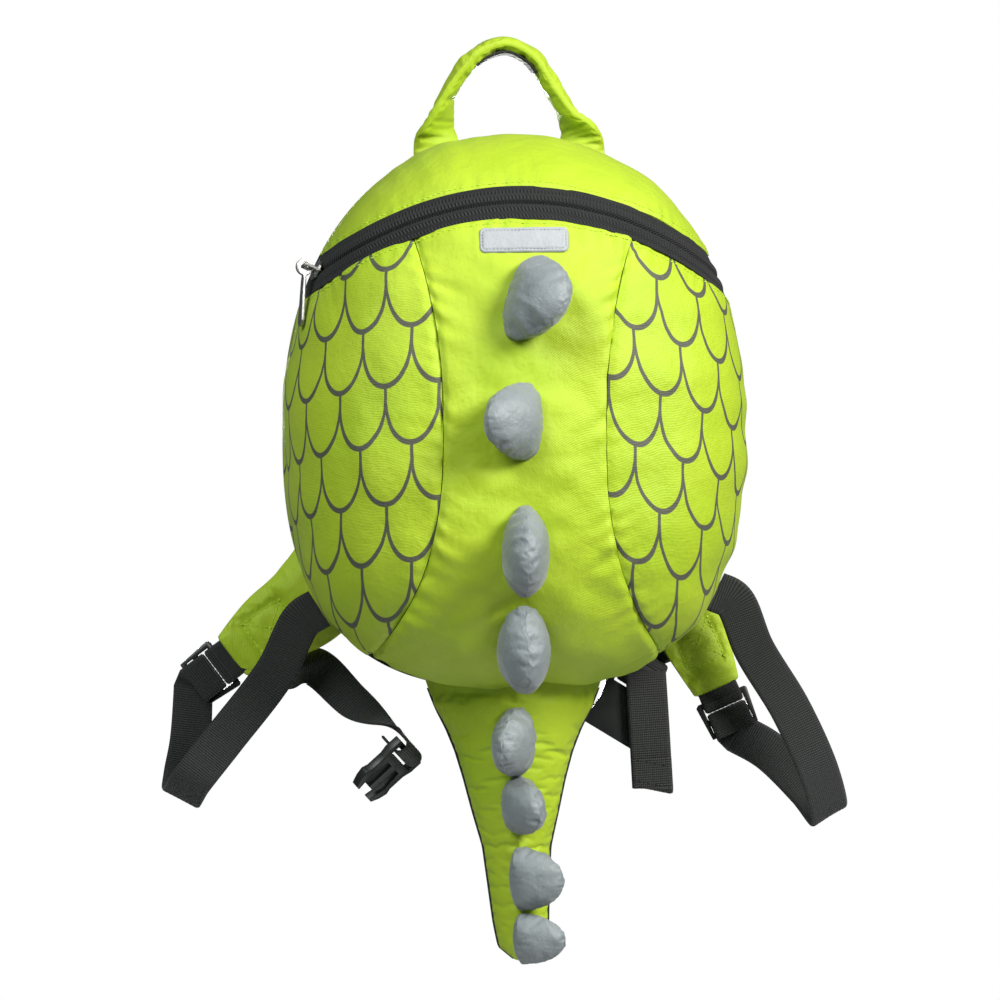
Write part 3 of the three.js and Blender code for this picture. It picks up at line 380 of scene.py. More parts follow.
def spacer_mesh(name, dark, light, pitch):
    finish = Finish(name)
    u, v = finish.cloth_places()
    ground = 1 - (abs(u.wave(pitch) * v.wave(pitch)) - 0.25).high(0)
    fuzz = finish.noise(200)
    share = ground * 0.7 + (fuzz - 0.5) * 0.5
    return black_cloth(finish, share, dark, light, rough=0.72 + fuzz * 0.2, height=ground,
                       depth=0.00035, sheen=0.25, gloss=0.3)


BLACK_WEBBING = webbing_finish("black_webbing", (0.007, 0.008, 0.008), (0.032, 0.036, 0.036))
ZIP_TAPE = herringbone("zip_tape_weave", (0.007, 0.008, 0.008), (0.028, 0.030, 0.030))
BACK_MESH = spacer_mesh("black_spacer_mesh", (0.006, 0.007, 0.007), (0.040, 0.043, 0.044), 3.1)
LINING = spacer_mesh("black_plain_cloth", (0.010, 0.011, 0.011), (0.033, 0.036, 0.037), 0.7)

# %% [markdown]
# Buckles and adjusters are moulded nylon with a fine spark-eroded grain. The slider and its pull
# are plated metal with a few faint scratches. Threads are a twisted two-ply.

# %% Plastic, metal and thread
def moulded_finish(name):
    finish = Finish(name)
    grain = finish.noise(2600, detail=2)
    wear = finish.noise(90)
    colour = finish.mix(wear, (0.008, 0.009, 0.009), (0.022, 0.024, 0.025))
    return finish.skin(Base_Color=colour, Roughness=0.34 + wear * 0.16,
                       Normal=finish.relief(grain, depth=0.00005), Specular_IOR_Level=0.5)


def plated_finish(name):
    finish = Finish(name)
    x, y, z = finish.split(finish.places())
    drawn = finish.node("ShaderNodeCombineXYZ", None, {"X": x * 9, "Y": y, "Z": z})
    scratch = finish.noise(700, detail=4, vector=drawn)
    colour = finish.mix(finish.noise(220), (0.50, 0.49, 0.47), (0.36, 0.355, 0.34))
    return finish.skin(Base_Color=colour, Metallic=1.0, Roughness=0.3 + scratch * 0.16,
                       Normal=finish.relief(scratch, depth=0.00003))


def thread_finish(name, light, dark):
    finish = Finish(name)
    x, y, z = finish.split(finish.places())
    ply = ((x + y * 0.6 + z) * METRE).wave(0.7)
    fuzz = finish.noise(900, detail=2)
    colour = finish.mix(ply * 0.3 + 0.3 + (fuzz - 0.5) * 0.4, light, dark)
    return finish.skin(Base_Color=colour, Roughness=0.5 + fuzz * 0.15,
                       Normal=finish.relief(ply, depth=0.00005), Specular_IOR_Level=0.4)


NYLON = moulded_finish("moulded_nylon")
PLATED = plated_finish("plated_metal")
LIME_THREAD = thread_finish("lime_thread", (0.60, 0.86, 0.06), (0.40, 0.66, 0.01))
GREY_THREAD = thread_finish("grey_thread", (0.28, 0.31, 0.33), (0.17, 0.19, 0.21))
BLACK_THREAD = thread_finish("black_thread", (0.030, 0.033, 0.034), (0.012, 0.013, 0.013))

# %% [markdown]
# Meshes are reckoned as grids of points and handed to Blender in one go. A closed shell is
# turned so that its faces point outwards, by the sign of the volume that it holds.

# %% Making meshes
def unit(vectors):
    return vectors / np.maximum(np.linalg.norm(vectors, axis=-1, keepdims=True), 1e-12)


def arc(grid, axis):
    steps = np.linalg.norm(np.diff(grid, axis=axis), axis=-1)
    start = np.zeros_like(np.take(steps, [0], axis=axis))
    return np.concatenate([start, np.cumsum(steps, axis=axis)], axis=axis)


def make_mesh(name, points, faces, material, layers=None, sharp=None, closed=True):
    points = np.asarray(points, float)
    if closed:
        quads = np.array([f if len(f) == 4 else (*f, f[2]) for f in faces])
        a, b, c, d = (points[quads[:, i]] for i in range(4))
        volume = np.einsum("ij,ij->i", a, np.cross(b, c) + np.cross(c, d)).sum()
        if volume < 0:
            faces = [tuple(reversed(face)) for face in faces]
    mesh = bpy.data.meshes.new(name)
    mesh.from_pydata((points * MM).tolist(), [], [tuple(map(int, face)) for face in faces])
    loops = np.zeros(len(mesh.loops), int)
    mesh.loops.foreach_get("vertex_index", loops)
    for layer, places in (layers or {}).items():
        sheet_map = mesh.uv_layers.new(name=layer)
        sheet_map.data.foreach_set("uv", (np.asarray(places, float)[loops] * MM).ravel())
    mesh.polygons.foreach_set("use_smooth", [True] * len(mesh.polygons))
    if sharp is not None:
        mesh.set_sharp_from_angle(angle=math.radians(sharp))
    mesh.materials.append(material)
    mesh.update()
    return link(name, mesh)


def grid_faces(down, across, start=0, wrap=False):
    r, c = np.meshgrid(np.arange(down - 1), np.arange(across if wrap else across - 1), indexing="ij")
    a = start + r * across + c
    b = start + r * across + (c + 1) % across
    return np.stack([a, b, b + across, a + across], -1).reshape(-1, 4)


def sheet_mesh(name, outer, inner, material, layers, sharp=60):
    down, across = outer.shape[:2]
    half = down * across
    rim = [*range(across), *range(2 * across - 1, half, across)]
    rim += [half - 1 - i for i in range(1, across)]
    rim += [half - across - i * across for i in range(1, down)]
    rim = list(dict.fromkeys(rim))
    sides = [(b, a, half + a, half + b) for a, b in zip(rim, rim[1:] + rim[:1])]
    front_faces = grid_faces(down, across)
    back_faces = grid_faces(down, across, half)[:, ::-1]
    faces = [*map(tuple, front_faces), *map(tuple, back_faces), *sides]
    points = np.concatenate([outer.reshape(-1, 3), inner.reshape(-1, 3)])
    doubled = {key: np.concatenate([value.reshape(-1, 2)] * 2) for key, value in layers.items()}
    return make_mesh(name, points, faces, material, doubled, sharp)


def tube_mesh(name, rings, material, sharp=50, ring_uv=None):
    count, sides = rings.shape[:2]
    faces = [*map(tuple, grid_faces(count, sides, 0, True))]
    middle = count * sides
    last = middle - sides
    points = np.concatenate([rings.reshape(-1, 3), [rings[0].mean(0), rings[-1].mean(0)]])
    for i in range(sides):
        after = (i + 1) % sides
        faces.append((after, i, middle))
        faces.append((last + i, last + after, middle + 1))
    closed = np.concatenate([rings, rings[:, :1]], axis=1)
    around = arc(closed, 1)[:, :-1] if ring_uv is None else np.broadcast_to(ring_uv, (count, sides))
    along = np.repeat(arc(rings.mean(1)[None], 1)[0][:, None], sides, 1)
    places = np.stack([around, along], -1).reshape(-1, 2)
    places = np.concatenate([places, places[[0, -1]]])
    return make_mesh(name, points, faces, material, {"cloth": places}, sharp)


def frozen(piece, name):
    ready = piece.evaluated_get(bpy.context.evaluated_depsgraph_get())
    result = bpy.data.meshes.new_from_object(ready)
    result.name = name
    result.polygons.foreach_set("use_smooth", [True] * len(result.polygons))
    return result


def settle(piece, slot, *nodes, body="bag", fill=None):
    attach(piece, body)
    if nodes:
        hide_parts(*nodes)
    corners = (np.array([c[:] for c in piece.bound_box]) * METRE).round(1)
    print(piece.name, len(piece.data.polygons), "faces", corners.min(0).tolist(), corners.max(0).tolist())
    return piece


# %% [markdown]
# The bag's body is one smooth dome: its outline is a superellipse, and the depth follows the
# same kind of curve from the outline to the middle. Any place on the cloth is then named by
# where it is seen from the front, x and z, and how far it is lifted along the surface's normal.

# %% The dome
GAP = 0.35
HALF_WIDTH, HEIGHT_ABOVE, HEIGHT_BELOW, DEPTH = 112.0, 143.0, 125.0, 105.0
TOP_POWER, BOTTOM_POWER, DOME_POWER = 2.2, 2.6, 2.6
TOP_Z = -39.4
MID_Z = TOP_Z - HEIGHT_ABOVE
BOTTOM_Z = MID_Z - HEIGHT_BELOW
BAG_HEIGHT = HEIGHT_ABOVE + HEIGHT_BELOW
CLOTH = 2.0


def dome_sizes(z):
    above = np.asarray(z) > MID_Z
    return np.where(above, TOP_POWER, BOTTOM_POWER), np.where(above, HEIGHT_ABOVE, HEIGHT_BELOW)


def dome_radius(x, z):
    power, height = dome_sizes(z)
    return (np.abs(x / HALF_WIDTH) ** power + np.abs((z - MID_Z) / height) ** power) ** (1 / power)


def dome_normal(x, z, share):
    power, height = dome_sizes(z)
    pull = np.maximum(dome_radius(x, z), 1e-6) ** (DOME_POWER - power)
    side = pull * np.sign(x) * np.abs(x / HALF_WIDTH) ** (power - 1) / HALF_WIDTH
    rise = pull * np.sign(z - MID_Z) * np.abs((z - MID_Z) / height) ** (power - 1) / height
    return unit(np.stack([side, -(share ** (DOME_POWER - 1)) / DEPTH, rise], -1))


def dome(x, z, lift=0.0):
    x, z = np.broadcast_arrays(np.asarray(x, float), np.asarray(z, float))
    share = (1 - np.minimum(1, dome_radius(x, z)) ** DOME_POWER) ** (1 / DOME_POWER)
    normal = dome_normal(x, z, share)
    return np.stack([x, -DEPTH * share, z], -1) + normal * np.asarray(lift)[..., None]


def solve(low, high, positive):
    for _ in range(48):
        middle = (low + high) / 2
        if positive(middle):
            high = middle
        else:
            low = middle
    return (low + high) / 2


def evenly(path, count, steps=300):
    q = (1 - np.cos(np.pi * np.linspace(0, 1, steps + 1))) / 2
    length = arc(dome(*path(q))[None], 1)[0]
    return path(np.interp(np.linspace(0, length[-1], count + 1), length, q))


print("dome depth at the middle", -dome(0.0, MID_Z)[1])

# %% [markdown]
# Cloth is never even. Broad soft dents come from a few long waves laid over each other, and short
# puckers stand across each seam, because the thread draws the cloth in. Both fade with distance
# from the seam. Every random number comes from a fixed seed, so the bag is the same each time.

# %% Dents and puckers
WAVES = 9
WAVE_SUM = 3.2


def soft_noise(x, y, size, seed):
    dice = np.random.default_rng(seed)
    total = 0.0
    for _ in range(WAVES):
        angle = dice.uniform(0, 2 * math.pi)
        wave = 2 * math.pi / (size * dice.uniform(0.7, 1.6))
        run = x * math.cos(angle) + y * math.sin(angle)
        total = total + np.sin(wave * run + dice.uniform(0, 6.3))
    return total / WAVE_SUM


def pucker(distance, along, depth, reach, pitch, seed):
    drift = soft_noise(along, distance * 0.4, pitch * 4, seed)
    strength = 0.55 + 0.45 * soft_noise(along, 0 * along, pitch * 5, seed + 1)
    reach = reach * (1 + 0.35 * soft_noise(along, 0 * along, pitch * 2.3, seed + 2))
    wave = np.sin(2 * math.pi * along / pitch + 1.6 * drift)
    fade = np.exp(-distance / np.maximum(reach, 0.5)) * (1 - np.exp(-distance / 0.7))
    return depth * strength * wave * fade


def tuck(distance, depth=1.3, reach=1.9):
    return -depth * np.exp(-(distance / reach) ** 2)


# %% [markdown]
# The centre panel runs from the zip to the tail between two waisted seams. It is laid out in
# columns that share its width, each spaced evenly down the cloth, as the CAD panel is.

# %% Centre panel
WAIST, WAIST_DROP, FLARE_UP, FLARE_DOWN, LABEL_DROP = 38.5, 135.6, 13.0, 29.0, 54.8
ZIP_DROP, ZIP_DROOP, ZIP_WIDTH = 36.0, 43.0, 15.0
WAIST_Z = TOP_Z - WAIST_DROP
ZIP_LOW = -ZIP_WIDTH / 2 - GAP / 2
ZIP_HIGH = ZIP_WIDTH / 2 + GAP / 2
LABEL_Z = TOP_Z - LABEL_DROP
LABEL_CLEAR_WIDE, LABEL_CLEAR_HIGH = 27, 11
INNER_LIFT = -CLOTH - 0.6
EDGE_SINK = 0.5


def seam_x(z):
    rise = (z - WAIST_Z) / (WAIST_DROP - LABEL_DROP)
    fall = (WAIST_Z - z) / (WAIST_Z - BOTTOM_Z - WAIST / 2)
    return WAIST + np.where(z > WAIST_Z, FLARE_UP * rise ** 2, FLARE_DOWN * fall ** 3)


def zip_z(x):
    return TOP_Z - ZIP_DROP - ZIP_DROOP * (x / HALF_WIDTH) ** 2


def front_grid(rows, columns):
    grid = []
    for share in np.linspace(-1, 1, columns + 1):
        low = solve(BOTTOM_Z, WAIST_Z, lambda z: dome_radius(share * (seam_x(z) - GAP / 2), z) < 1)
        high = solve(WAIST_Z, TOP_Z, lambda z: z > zip_z(share * (seam_x(z) - GAP / 2)) + ZIP_LOW)

        def column(q, low=low, high=high, share=share):
            z = low + (high - low) * q
            return share * (seam_x(z) - GAP / 2), z

        grid.append(np.stack(evenly(column, rows), -1))
    return np.stack(grid, 1)


def mapped(grid):
    x, z = grid[..., 0], grid[..., 1]
    flat = dome(x, z)
    return x, z, arc(flat, 1), arc(flat, 0)


def panel(name, x, z, lift, material, layers, flip=1):
    turn = np.array([flip, 1, 1])
    return sheet_mesh(name, dome(x, z, lift) * turn, dome(x, z, INNER_LIFT) * turn, material, layers)


FRONT_ROWS, FRONT_COLUMNS = 200, 96
front_x, front_z, front_u, front_v = mapped(front_grid(FRONT_ROWS, FRONT_COLUMNS))
front_u -= front_u[:, [FRONT_COLUMNS // 2]]
to_sides = np.minimum(front_u - front_u[:, :1], front_u[:, -1:] - front_u)
to_zip = front_v[-1:] - front_v
under_label = np.exp(-(front_x / LABEL_CLEAR_WIDE) ** 4 - ((front_z - LABEL_Z) / LABEL_CLEAR_HIGH) ** 4)
front_dents = (1.15 * soft_noise(front_x, front_z, size=46, seed=11)
               + 0.42 * soft_noise(front_x, front_z, size=19, seed=12))
front_lift = (
    (1 - under_label) * front_dents
    + pucker(to_zip, front_u, depth=0.75, reach=8, pitch=8.5, seed=21)
    + pucker(to_zip, front_u, depth=0.3, reach=3, pitch=3.6, seed=24)
    + pucker(to_sides, front_v, depth=0.9, reach=6, pitch=11, seed=31)
    + pucker(front_v, front_u, depth=0.7, reach=9, pitch=12, seed=41)
    + tuck(to_sides) + tuck(to_zip, depth=0.5, reach=1.1)
)
front_lift -= EDGE_SINK * (1 - np.minimum(1, np.minimum(to_sides, to_zip) / 14))
front_piece = panel("front_cloth", front_x, front_z, front_lift, LIME_CLOTH,
                    {"cloth": np.stack([front_u, front_v], -1)})
settle(front_piece, "lime_fabric", "front_panel")

# %% [markdown]
# Each side panel fills the place between that seam, the zip and the outline. Its print needs a
# second UV map that runs straight across the bag at each height, so the scales lie in level rows
# that dip towards the side, and narrow to the eye only where the cloth turns away.

# %% Side panels
def outline(angle):
    power = np.where(angle > 0, TOP_POWER, BOTTOM_POWER)
    height = np.where(angle > 0, HEIGHT_ABOVE, HEIGHT_BELOW)
    c, s = np.cos(angle), np.sin(angle)
    x = HALF_WIDTH * np.sign(c) * np.abs(c) ** (2 / power)
    return x, MID_Z + height * np.sign(s) * np.abs(s) ** (2 / power)


def outline_angle(z):
    return solve(-math.pi / 2, math.pi / 2, lambda angle: outline(angle)[1] > z)


def zip_end(offset):
    return solve(HALF_WIDTH / 2, HALF_WIDTH, lambda x: dome_radius(x, zip_z(x) + offset) > 1)


def side_grid(rows, columns):
    seam_z = np.interp(np.linspace(0, 1, rows + 1), np.linspace(0, 1, len(front_z)), front_z[:, -1])
    seam = np.stack([seam_x(seam_z) + GAP / 2, seam_z], -1)
    end_x = zip_end(ZIP_LOW)
    first = outline_angle(seam_z[0])
    last = outline_angle(zip_z(end_x) + ZIP_LOW)
    first += (last - first) * 0.006
    edge = np.stack(evenly(lambda q: outline(first + (last - first) * q), rows), -1)
    top_x = seam[-1, 0]
    grid = []
    for r in range(rows + 1):
        weight = (r / rows) ** 3

        def row(q, r=r, weight=weight):
            x = top_x + (end_x - top_x) * q
            arch = zip_z(x) - (zip_z(top_x) + (zip_z(end_x) - zip_z(top_x)) * q)
            spot = seam[r] + (edge[r] - seam[r]) * q[..., None]
            return spot[..., 0], spot[..., 1] + weight * arch

        grid.append(np.stack(evenly(row, columns), -1))
    return np.stack(grid)


def across_bag(x, z, steps=30):
    path = np.stack([dome(x * k / steps, z) for k in range(steps + 1)])
    return np.linalg.norm(np.diff(path, axis=0), axis=-1).sum(0)


SCALE_DIP = {"left": 0.12, "right": 0.30}
SCALE_SHIFT = {"left": (10.3, 9.7), "right": (11.5, 12.0)}
SCALE_LEVEL_AT = 60
PRINT_BASE = 400
side_x, side_z, side_u, side_v = mapped(side_grid(190, 84))
side_to_zip = side_v[-1:] - side_v
side_wide = across_bag(side_x, side_z)
side_pieces = []
for name, sign, seed in (("left", -1, 50), ("right", 1, 70)):
    lift = (
        0.85 * soft_noise(side_x, side_z, size=52, seed=seed)
        + 0.32 * soft_noise(side_x, side_z, size=20, seed=seed + 1)
        + pucker(side_to_zip, side_u, depth=0.6, reach=7, pitch=7.5, seed=seed + 2)
        + pucker(side_to_zip, side_u, depth=0.28, reach=3, pitch=3.4, seed=seed + 8)
        + pucker(side_u, side_v, depth=0.7, reach=5, pitch=10, seed=seed + 4)
        + tuck(side_u) + tuck(side_to_zip, depth=0.5, reach=1.1)
    )
    lift -= EDGE_SINK * (1 - np.minimum(1, np.minimum(side_u, side_to_zip) / 14))
    lift *= np.minimum(1, (side_u[:, -1:] - side_u) / 6 + 0.15)
    shift_u, shift_v = SCALE_SHIFT[name]
    wide = side_wide + shift_u
    high = side_z + SCALE_DIP[name] * (side_wide - SCALE_LEVEL_AT) + shift_v + PRINT_BASE
    layers = {"cloth": np.stack([side_u, side_v], -1), "print": np.stack([wide, high], -1)}
    piece = panel(f"side_cloth_{name}", side_x, side_z, lift, PRINTED_CLOTH, layers, flip=sign)
    side_pieces.append(settle(piece, "lime_fabric", f"side_panel_{name}"))

# %% [markdown]
# The crown above the zip is one panel, spaced between the zip's upper edge and the outline.

# %% Crown
def along_zip(offset, count, start=0.0, stop=1.0):
    end = zip_end(offset)

    def place(q):
        x = -end + 2 * end * (start + (stop - start) * q)
        return x, zip_z(x) + offset

    return evenly(place, count)


CROWN_INSET = 0.004
CROWN_COLUMNS = 220


def crown_grid(rows, columns):
    low = np.stack(along_zip(ZIP_HIGH, columns, CROWN_INSET, 1 - CROWN_INSET), -1)
    corner = outline_angle(zip_z(zip_end(ZIP_HIGH)) + ZIP_HIGH)
    span = np.pi - 2 * corner

    def top(q):
        return outline(np.pi - corner - span * (CROWN_INSET + (1 - 2 * CROWN_INSET) * q))

    grid = []
    for start, stop in zip(low, np.stack(evenly(top, columns), -1)):
        def column(q, start=start, stop=stop):
            spot = start + (stop - start) * q[..., None]
            return spot[..., 0], spot[..., 1]

        grid.append(np.stack(evenly(column, rows), -1))
    return np.stack(grid, 1)


crown_x, crown_z, crown_u, crown_v = mapped(crown_grid(64, CROWN_COLUMNS))
crown_u -= crown_u[:, [CROWN_COLUMNS // 2]]
crown_lift = (
    0.9 * soft_noise(crown_x, crown_z, size=48, seed=91)
    + 0.2 * soft_noise(crown_x, crown_z, size=18, seed=92)
    + pucker(crown_v, crown_u, depth=0.55, reach=6, pitch=7.5, seed=93)
    + pucker(crown_v, crown_u, depth=0.28, reach=3, pitch=3.5, seed=97)
    + tuck(crown_v, depth=0.5, reach=1.1)
    - EDGE_SINK * (1 - np.minimum(1, crown_v / 12))
)
crown_lift *= np.minimum(1, (crown_v[-1:] - crown_v) / 6 + 0.15)
crown_piece = panel("crown_cloth", crown_x, crown_z, crown_lift, LIME_CLOTH,
                    {"cloth": np.stack([crown_u, crown_v], -1)})
settle(crown_piece, "lime_fabric", "top_panel")

# %% [markdown]
# The zip is a reverse coil: two woven tapes meet over the coil and leave one thin line between
# them. Each tape rises over the coil's shoulder and rolls down into the slit.

# %% Zip tapes
SLIT = 0.5
TAPE_STEPS = 300
TAPE_SINK = 0.75
SHOULDER_RISE, SHOULDER_AT = 0.75, 2.6
ROLL_DEPTH = 1.6
TAPE_EDGE = ZIP_WIDTH / 2 + 0.6


def tape(name, node, inner_edge, outer_edge):
    offsets = inner_edge + (outer_edge - inner_edge) * np.linspace(0, 1, 26)
    grid = np.stack([np.stack(along_zip(offset, TAPE_STEPS), -1) for offset in offsets])
    x, z, along, _ = mapped(grid)
    reach = np.abs(offsets)[:, None] * np.ones(TAPE_STEPS + 1)
    shoulder = SHOULDER_RISE * np.exp(-((reach - SHOULDER_AT) / 1.5) ** 2)
    roll = ROLL_DEPTH * np.exp(-((reach - SLIT / 2) / 0.45) ** 2)
    lift = -TAPE_SINK + shoulder - roll + 0.12 * soft_noise(along, reach, size=22, seed=7)
    inner = dome(x, z, np.minimum(lift - 0.5, -1.5))
    layers = {"cloth": np.stack([reach + 0.4, along], -1)}
    return settle(sheet_mesh(name, dome(x, z, lift), inner, ZIP_TAPE, layers), "black_fabric", node)


tape("zip_tape_low", "zip_tape_lower", -SLIT / 2, -TAPE_EDGE)
tape("zip_tape_high", "zip_tape_upper", SLIT / 2, TAPE_EDGE)

# %% [markdown]
# Stitches and the turns of the zip's coil repeat along a path, which is work for Geometry Nodes.
# One tree does both: it walks an edge path at a named spacing, turns each bead along the path and
# flat to the cloth by a stored direction, and ends in real faces with their material.

# %% A tree that lays beads along a path
def bead_tree():
    tree = bpy.data.node_groups.new("beads_along_path", "GeometryNodeTree")
    sockets = {"Geometry": "Geometry", "Spacing": "Float", "Length": "Float", "Width": "Float",
               "Height": "Float", "Seed": "Int", "Material": "Material"}
    for label, kind in sockets.items():
        tree.interface.new_socket(label, in_out="INPUT", socket_type="NodeSocket" + kind)
    tree.interface.new_socket("Geometry", in_out="OUTPUT", socket_type="NodeSocketGeometry")

    def node(kind, settings=None, **inputs):
        made = tree.nodes.new(kind)
        for key, value in (settings or {}).items():
            setattr(made, key, value)
        for key, value in inputs.items():
            socket = next(s for s in made.inputs if s.name == key.replace("_", " ") and s.enabled)
            if isinstance(value, bpy.types.NodeSocket):
                tree.links.new(value, socket)
            else:
                socket.default_value = value
        return made

    given = node("NodeGroupInput").outputs
    curve = node("GeometryNodeMeshToCurve", Mesh=given["Geometry"])
    walk = node("GeometryNodeResampleCurve", {"mode": "LENGTH"}, Curve=curve.outputs[0],
                Length=given["Spacing"])
    tangent = node("GeometryNodeInputTangent")
    first = node("FunctionNodeAlignRotationToVector", {"axis": "X"}, Vector=tangent.outputs[0])
    up = node("GeometryNodeInputNamedAttribute", {"data_type": "FLOAT_VECTOR"}, Name="up")
    facing = node("FunctionNodeAlignRotationToVector", {"axis": "Z", "pivot_axis": "X"},
                  Rotation=first.outputs[0], Vector=up.outputs[0])
    bead = node("GeometryNodeMeshUVSphere", Segments=6, Rings=4, Radius=0.5)
    size = node("ShaderNodeCombineXYZ", X=given["Length"], Y=given["Width"], Z=given["Height"])
    shaped = node("GeometryNodeTransform", Geometry=bead.outputs[0], Scale=size.outputs[0])
    vary = node("FunctionNodeRandomValue", {"data_type": "FLOAT"}, Min=0.86, Max=1.1, Seed=given["Seed"])
    scale = next(s for s in vary.outputs if s.enabled)
    placed = node("GeometryNodeInstanceOnPoints", Points=walk.outputs[0], Instance=shaped.outputs[0],
                  Rotation=facing.outputs[0], Scale=scale)
    real = node("GeometryNodeRealizeInstances", Geometry=placed.outputs[0])
    painted = node("GeometryNodeSetMaterial", Geometry=real.outputs[0], Material=given["Material"])
    node("NodeGroupOutput", Geometry=painted.outputs[0])
    return tree


BEADS = bead_tree()


def beads(name, lines, material, spacing, length, width, height, seed=1):
    points, edges, directions = [], [], []
    for line, up in lines:
        start = len(points)
        points += (np.asarray(line) * MM).tolist()
        directions += np.broadcast_to(up, np.shape(line)).tolist()
        edges += [(start + i, start + i + 1) for i in range(len(line) - 1)]
    mesh = bpy.data.meshes.new(name + "_path")
    mesh.from_pydata(points, edges, [])
    mesh.attributes.new("up", "FLOAT_VECTOR", "POINT").data.foreach_set("vector", np.ravel(directions))
    carrier = link(name + "_path", mesh)
    modifier = carrier.modifiers.new("beads", "NODES")
    modifier.node_group = BEADS
    values = {"Spacing": spacing * MM, "Length": length * MM, "Width": width * MM, "Height": height * MM,
              "Seed": seed, "Material": material}
    for item in BEADS.interface.items_tree:
        if item.in_out == "INPUT" and item.name in values:
            modifier[item.identifier] = values[item.name]
    piece = link(name, frozen(carrier, name))
    bpy.data.objects.remove(carrier)
    return piece


# %% [markdown]
# A stitch line is laid on the finished cloth: either each of its points is cast along one
# direction until it meets the cloth, or it goes to the nearest place on the cloth. Both give the
# places, lifted a little, and the cloth's own normal there.

# %% Laying a line on cloth
CAST_FROM = 0.03


def surface(*pieces):
    corners, faces = [], []
    for piece in pieces:
        start = len(corners)
        corners += [v.co for v in piece.data.vertices]
        faces += [tuple(start + i for i in p.vertices) for p in piece.data.polygons]
    return BVHTree.FromPolygons(corners, faces)


def lifted(found, lift):
    normals = np.array([spot[1][:] for spot in found])
    return np.array([spot[0][:] for spot in found]) / MM + normals * lift, normals


def cast(piece, line, way, lift=0.1):
    tree = surface(piece)
    way = Vector(way).normalized()
    rays = [tree.ray_cast(Vector(point) * MM - way * CAST_FROM, way) for point in line]
    return lifted([ray for ray in rays if ray[0] is not None], lift)


def lay_on(pieces, line, lift=0.12):
    tree = surface(*pieces)
    return lifted([tree.find_nearest(Vector(point) * MM) for point in line], lift)


# %% [markdown]
# The coil's turns lie under the slit, and a row of topstitching runs beside each tape.

# %% Coil and topstitching of the zip
COIL_DEPTH = 2.3
COIL_ENDS = (0.06, 0.997)
TOPSTITCH_GAP = 2.1
TOPSTITCH_ENDS = (0.006, 0.994)


def zip_line(offset, lift, ends):
    x, z = along_zip(offset, 260, *ends)
    line = dome(x, z, lift)
    return line, dome(x, z, lift + 1.0) - line


coil = beads("zip_coil_turns", [zip_line(0.0, -COIL_DEPTH, COIL_ENDS)], NYLON,
             spacing=1.25, length=0.8, width=4.6, height=1.5)
settle(coil, "black_plastic", "zip_coil")
low_line, _ = zip_line(ZIP_LOW - TOPSTITCH_GAP, CLOTH, TOPSTITCH_ENDS)
high_line, _ = zip_line(ZIP_HIGH + TOPSTITCH_GAP, CLOTH, TOPSTITCH_ENDS)
stitch_lines = [lay_on([front_piece, *side_pieces], low_line), lay_on([crown_piece], high_line)]
topstitch = beads("zip_topstitch", stitch_lines, LIME_THREAD,
                  spacing=2.7, length=2.1, width=0.62, height=0.55, seed=3)
settle(topstitch, "lime_fabric")

# %% [markdown]
# The back panel is a pad of foam under spacer mesh. It is quilted down two lines and pulled
# in round its border.

# %% Back panel
BACK_THICKNESS = 6.0
BACK_Y = GAP + BACK_THICKNESS
QUILT_X = 37.0
BORDER_INSET, BORDER_SPAN = 9, 110


def full_outline(turn):
    x, z = outline(np.arcsin(np.sin(turn)))
    return x * np.where(np.cos(turn) < 0, -1, 1), z


def back_pad(rings=46, sides=200):
    x, z = full_outline(np.linspace(0, 2 * np.pi, sides, endpoint=False))
    rows = [np.stack([x, np.full(sides, GAP * 0.6), z], -1)]
    for inset, y in ((0.0, 1.2), (0.1, 3.0), (0.6, 4.4), (1.4, 5.2)):
        pz = MID_Z + (z - MID_Z) * (1 - inset / HEIGHT_BELOW)
        rows.append(np.stack([x * (1 - inset / HALF_WIDTH), np.full(sides, y), pz], -1))
    for share in np.linspace(0.985, 0.02, rings):
        px, pz = x * share, MID_Z + (z - MID_Z) * share
        border = (1 - share) * BORDER_SPAN
        y = 5.4 + 0.95 * (1 - np.exp(-border / 5)) + 0 * px
        y = y - 1.5 * np.exp(-((border - BORDER_INSET) / 1.3) ** 2)
        for channel in (-QUILT_X, QUILT_X):
            y = y - 1.7 * np.exp(-((px - channel) / 1.8) ** 2) * (border > BORDER_INSET)
        rows.append(np.stack([px, y + 0.15 * soft_noise(px, pz, size=26, seed=5), pz], -1))
    return np.stack(rows)


back_piece = tube_mesh("back_pad", back_pad(), BACK_MESH, sharp=70)
back_points = np.array([v.co[:] for v in back_piece.data.vertices])
back_loops = np.array([loop.vertex_index for loop in back_piece.data.loops])
back_uv = back_piece.data.uv_layers["cloth"]
back_uv.data.foreach_set("uv", back_points[back_loops][:, [0, 2]].ravel())
settle(back_piece, "black_fabric", "back_panel", fill=0.7)
quilt_z = np.linspace(-62, -288, 180)
quilt_paths = [np.stack([quilt_z * 0 + x, quilt_z * 0, quilt_z], -1) for x in (-QUILT_X, QUILT_X)]
edge_x, edge_z = full_outline(np.linspace(0, 2 * np.pi, 400))
shrink = 1 - BORDER_INSET / BORDER_SPAN
quilt_paths.append(np.stack([edge_x * shrink, edge_x * 0, MID_Z + (edge_z - MID_Z) * shrink], -1))
quilt_lines = [cast(back_piece, path, (0, -1, 0)) for path in quilt_paths]
quilt_stitch = beads("back_stitch", quilt_lines, BLACK_THREAD,
                     spacing=3.0, length=2.3, width=0.6, height=0.5, seed=4)
settle(quilt_stitch, "black_fabric")

# %% [markdown]
# The grey patch under the zip is bare. It keeps its rounded corners, its soft raised edge and
# the stitched border, and follows the dome.

